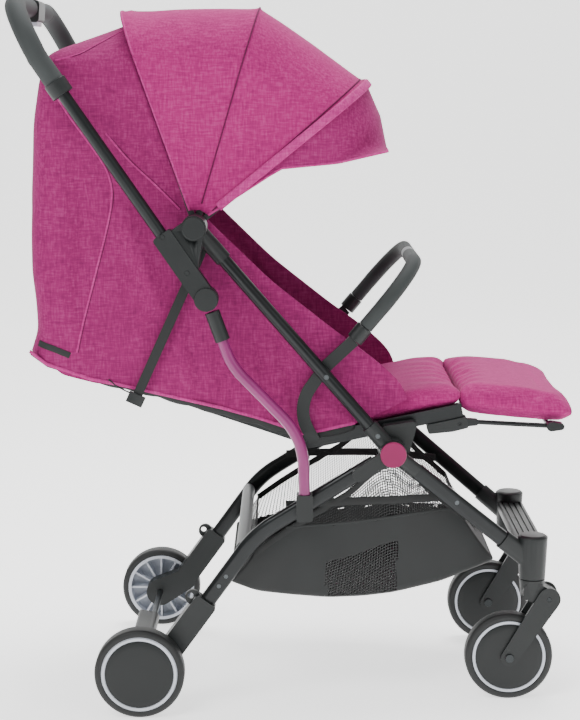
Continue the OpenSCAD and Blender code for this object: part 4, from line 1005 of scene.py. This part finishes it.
rest_side = np.array([on_rest(-4, 19), on_rest(40, 17), on_rest(172, 15), on_rest(181, 21), on_rest(177, 30),
                      on_rest(150, 42), on_rest(90, 49), on_rest(30, 50), on_rest(-5, 46)])
rest = pad_form("legrest_cushion", rest_side, 171, 18, cover_cloth)
inflate(rest, cap_mm=8)
subdivide(rest)
spot = positions(rest) * 1000
forward = (spot[:, [0, 2]] - REST) @ direction(REST_A)
pull = 15 * smooth(forward, 90, 172) * (np.abs(spot[:, 1]) / 171) ** 5
spot[:, [0, 2]] -= pull[:, None] * direction(REST_A)
pucker = 1.5 * np.sin(spot[:, 1] / 5.5 + 1.5 * np.sin(spot[:, 1] / 37)) * np.exp(-(((forward - 4) / 24) ** 2))
edge_pucker = np.sin(forward / 6.0 + np.abs(spot[:, 1]) / 14) * smooth(np.abs(spot[:, 1]), 120, 165)
pucker += 0.8 * edge_pucker * smooth(forward, 60, 120)
spot[:, 2] += pucker * smooth(spot[:, 2] - REST[1], 24, 40)
place(rest, spot / 1000)
press(rest, direction(REST_A), REST, [("s", 122, (0, 140))], 1.2, 4.0)
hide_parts("legrest_pad")
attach(rest, "legrest")
print("pads", [len(p.data.vertices) for p in (seat, back, rest)])

# %% [markdown]
# The basket is a mesh bag that hangs from the legs. Its rim follows the rear legs up to the seat
# and down to the front legs, and the wall drops from the rim to a sagging floor. The lower wall
# is lined with a closed black cloth, with one window of mesh in it, and black tape binds the rim.

# %% Basket
RIM = drawn((-62, 232), (-20, 262), (30, 294), (84, 326), (122, 364), (141, 374), (162, 362),
            (200, 320), (248, 280))
FLOOR_EDGE = drawn((-97, 190), (-60, 176), (-9, 170), (50, 165), (101, 166), (160, 172), (221, 181),
                   (300, 205))
BASKET_Y = ((-62, 189.0), (40, 187.0), (142, 178.0), (248, 139.0), (300, 122.0))


def basket_half(x):
    """Half the basket's width at x, between the legs."""
    xs, ys = np.array(BASKET_Y).T
    return np.interp(x, xs + SHIFT[0], ys)


def basket_grid(side_steps=70, end_steps=26, wall_steps=26, floor_steps=22):
    """Round the rim, then down the wall and in across the floor to its middle line."""
    rim_line, foot_line = rounded_path(RIM, side_steps, 4), rounded_path(FLOOR_EDGE, side_steps, 4)
    w = np.linspace(1, -1, end_steps + 2)[1:-1]

    def loop(line, inset):
        half = basket_half(line[:, 0]) - inset
        left = np.stack([line[:, 0], half, line[:, 1]], axis=-1)
        front, rear = (np.stack([np.full(end_steps, line[k, 0]), turn * w * half[k],
                                 np.full(end_steps, line[k, 1])], axis=-1) for k, turn in ((-1, 1), (0, -1)))
        return np.concatenate([left, front, left[::-1] * np.array([1, -1, 1]), rear])

    rim_loop, foot_loop = loop(rim_line, 0.0), loop(foot_line, 10.0)
    middle_x = np.clip(foot_loop[:, 0], foot_line[0, 0] + 70, foot_line[-1, 0] - 70)
    middle_z = np.interp(middle_x, foot_line[:, 0], foot_line[:, 1]) - 5
    middle = np.stack([middle_x, 0 * middle_x, middle_z], axis=-1)
    t = np.linspace(0, 1, wall_steps)[:, None, None]
    wall = rim_loop[None] * (1 - t) + foot_loop[None] * t
    sag = 4 * t * (1 - t)
    out = np.zeros_like(rim_loop)
    out[:, 1] = np.sign(rim_loop[:, 1]) * smooth(np.abs(rim_loop[:, 1]), 40, 120)
    wall = wall + sag * out[None] * 4 + sag * np.array([0, 0, -3.0])
    pleats = np.sin(rim_loop[:, 0] / 9.0 + 0.6 * np.sin(rim_loop[:, 0] / 31.0))
    wall = wall + (smooth(t, 0.45, 1.0) * pleats[None, :, None] * 1.3) * out[None]
    f = np.linspace(0, 1, floor_steps + 1)[1:, None, None]
    corner = foot_loop + np.array([0, 0, -4.0])
    floor_part = corner[None] * (1 - f) + middle[None] * f + np.array([0, 0, -4.0]) * np.sin(np.pi * f)
    return np.concatenate([wall, floor_part]).transpose(1, 0, 2)


bag = basket_grid()
quad_centre = (bag + np.roll(bag, -1, axis=0))[:, :-1] / 2
quad_centre = (quad_centre + (bag + np.roll(bag, -1, axis=0))[:, 1:] / 2) / 2
PANEL_EDGE = from_pivot((44.5, -467.1), (130.8, -445.2), (232.8, -437.9), (296, -430.6), (411, -424.7))
panel_line = np.interp(quad_centre[..., 0], PANEL_EDGE[:, 0], PANEL_EDGE[:, 1])
panel_line = np.where(quad_centre[..., 1] < -60, panel_line, panel_line - 62)
closed = quad_centre[..., 2] < panel_line
wall_row = np.broadcast_to(np.arange(quad_centre.shape[1]), quad_centre.shape[:2])
window = (quad_centre[..., 0] > PIVOT[0] + 190) & (quad_centre[..., 0] < PIVOT[0] + 296) & closed
window &= (wall_row > 14) & (wall_row < 25) & (quad_centre[..., 1] < -80)
faces_kind = np.where(closed & ~window, 1, 0)
basket, basket_area = cloth("basket_bag", bag, basket_net, 1.2, wrap=True, extra=[black_cloth],
                            face_material=faces_kind.ravel())
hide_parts("basket")


def bend_with_legs(piece):
    """Bakes a piece's placement into its mesh."""
    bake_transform(piece)


bend_with_legs(basket)
print("basket", round(basket_area, 3), "m2")

# %% [markdown]
# Woven tape binds the basket's rim and crosses each side between the legs, and a narrow seam joins
# the mesh to the closed cloth. Both are flat sections carried along a path on the basket's wall.

# %% Basket tapes
loop_rim = np.concatenate([bag[:, 0], bag[:1, 0]])
tape = swept("basket_tape_rim", along(loop_rim, 300), (0, 0, 1), flat_section(2.6, 9.0, 0.8), webbing)
bend_with_legs(tape)
for tag, side in (("left", 1), ("right", -1)):
    xs = np.linspace(PIVOT[0] + 130, PIVOT[0] + 376, 90)
    level = PIVOT[1] - 411 + 5 * np.sin((xs - xs[0]) / 90)
    wall_y = side * (basket_half(xs) + 0.5)
    tape = swept(f"basket_tape_{tag}", np.stack([xs, wall_y, level], axis=-1), (0, side, 0),
                 flat_section(12, 1.6, 0.6), webbing)
    bend_with_legs(tape)
    seam_z = np.interp(xs, PANEL_EDGE[:, 0], PANEL_EDGE[:, 1]) - (0 if side < 0 else 62)
    seam = swept(f"basket_seam_{tag}", np.stack([xs, wall_y, seam_z], axis=-1), (0, side, 0),
                 flat_section(4, 1.8, 0.7), black_cloth)
    bend_with_legs(seam)

# %% [markdown]
# Straps: the recline straps run from the pivots down to the backrest and end in a ladder lock.
# The harness has two shoulder straps and a crotch strap on the cushions. All are woven tape.

# %% Straps
foot_shift = np.array([-28, -12])
strap_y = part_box("recline_straps")[1][1] * 1000 - 1
top_at, foot_at = PIVOT + np.array([12, -30]), on_back(240, 4) + foot_shift
way = (foot_at - top_at) / np.linalg.norm(foot_at - top_at)
for tag, side in (("left", 1), ("right", -1)):
    path = along(np.array([top_at, top_at * 0.4 + foot_at * 0.6, foot_at]), 60)
    run3 = np.stack([path[:, 0], np.full(60, side * strap_y), path[:, 1]], axis=-1)
    run3[:, 1] += side * 1.2 * np.sin(np.linspace(0, math.pi, 60))
    strap = swept(f"recline_strap_{tag}", run3, (0, side, 0), flat_section(14, 1.6, 0.6), webbing)
    if side > 0:
        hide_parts("recline_straps")
    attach(strap, "chassis")
    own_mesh(strap)
    line = along(np.array([foot_at - way * 8, foot_at + way * 8]), 10)
    lock_run = np.stack([line[:, 0], np.full(10, side * (strap_y + 1.6)), line[:, 1]], axis=-1)
    lock = swept(f"recline_lock_{tag}", lock_run, (0, side, 0), flat_section(25, 4.2, 1.4), black_nylon)
    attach(lock, "chassis")
    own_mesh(lock)

back_tree = surface_tree(back)
seat_tree = surface_tree(seat)


def lay_down(tree, path, y, lift):
    """Side-view points dropped from above on a cushion at a place across it."""
    out = []
    for x, z in path:
        hit, *_ = tree.ray_cast(Vector((x / 1000, y / 1000, z / 1000 + 0.08)), Vector((0, 0, -1)))
        if hit is not None:
            out.append((x, y, hit.z * 1000 + lift))
    return np.array(out)


for tag, side in (("left", 1), ("right", -1)):
    path = along(np.array([on_back(290, 34), on_back(70, 34)]), 90)
    laid = lay_down(back_tree, path, side * 50.0, 1.3)
    laid[:, 2] = np.convolve(np.pad(laid[:, 2], 6, mode="edge"), np.ones(13) / 13, mode="valid") + 0.6
    strap = swept(f"shoulder_strap_{tag}", laid, (0.3, 0, 0.95), flat_section(25, 1.8, 0.7), webbing,
                  body="backrest")
    if side > 0:
        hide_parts("shoulder_straps")
    pad_path = laid[18:62] + np.array([0, 0, 2.6])
    cover = swept(f"shoulder_pad_{tag}", pad_path, (0.3, 0, 0.95), flat_section(42, 5.5, 2.6), cover_cloth,
                  body="backrest")
crotch = along(np.array([on_rail(118, 36), on_rail(96, 44)]), 24)
crotch3 = lay_down(seat_tree, crotch, 0.0, 1.4)
crotch3[:, 2] += 6 * smooth(np.linspace(0, 1, len(crotch3)), 0.2, 1.0)
tongue = swept("crotch_tape", crotch3, (0, 0, 1), flat_section(25, 2.0, 0.7), webbing,
               body="chassis")
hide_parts("crotch_strap")
print("straps done")

# %% [markdown]
# A short loop of narrow webbing runs under the backrest to each strap's lock. It is stiff at this
# length, so it is a plain swept section that rides on the backrest.

# %% Webbing loops under the backrest
for tag, side in (("left", 1), ("right", -1)):
    loop_line = from_pivot((-129.3, -225.9), (-117.8, -236.1), (-100.6, -244.9), (-80.5, -250.7))
    path = rounded_path(loop_line, 40, 10)
    swept(f"lock_loop_{tag}", np.stack([path[:, 0], np.full(40, side * 176.0), path[:, 1]], axis=-1),
          (0, side, 0), flat_section(2.2, 2.2, 1.0), webbing, body="backrest")

# %% Final view layer update
bpy.context.view_layer.update()
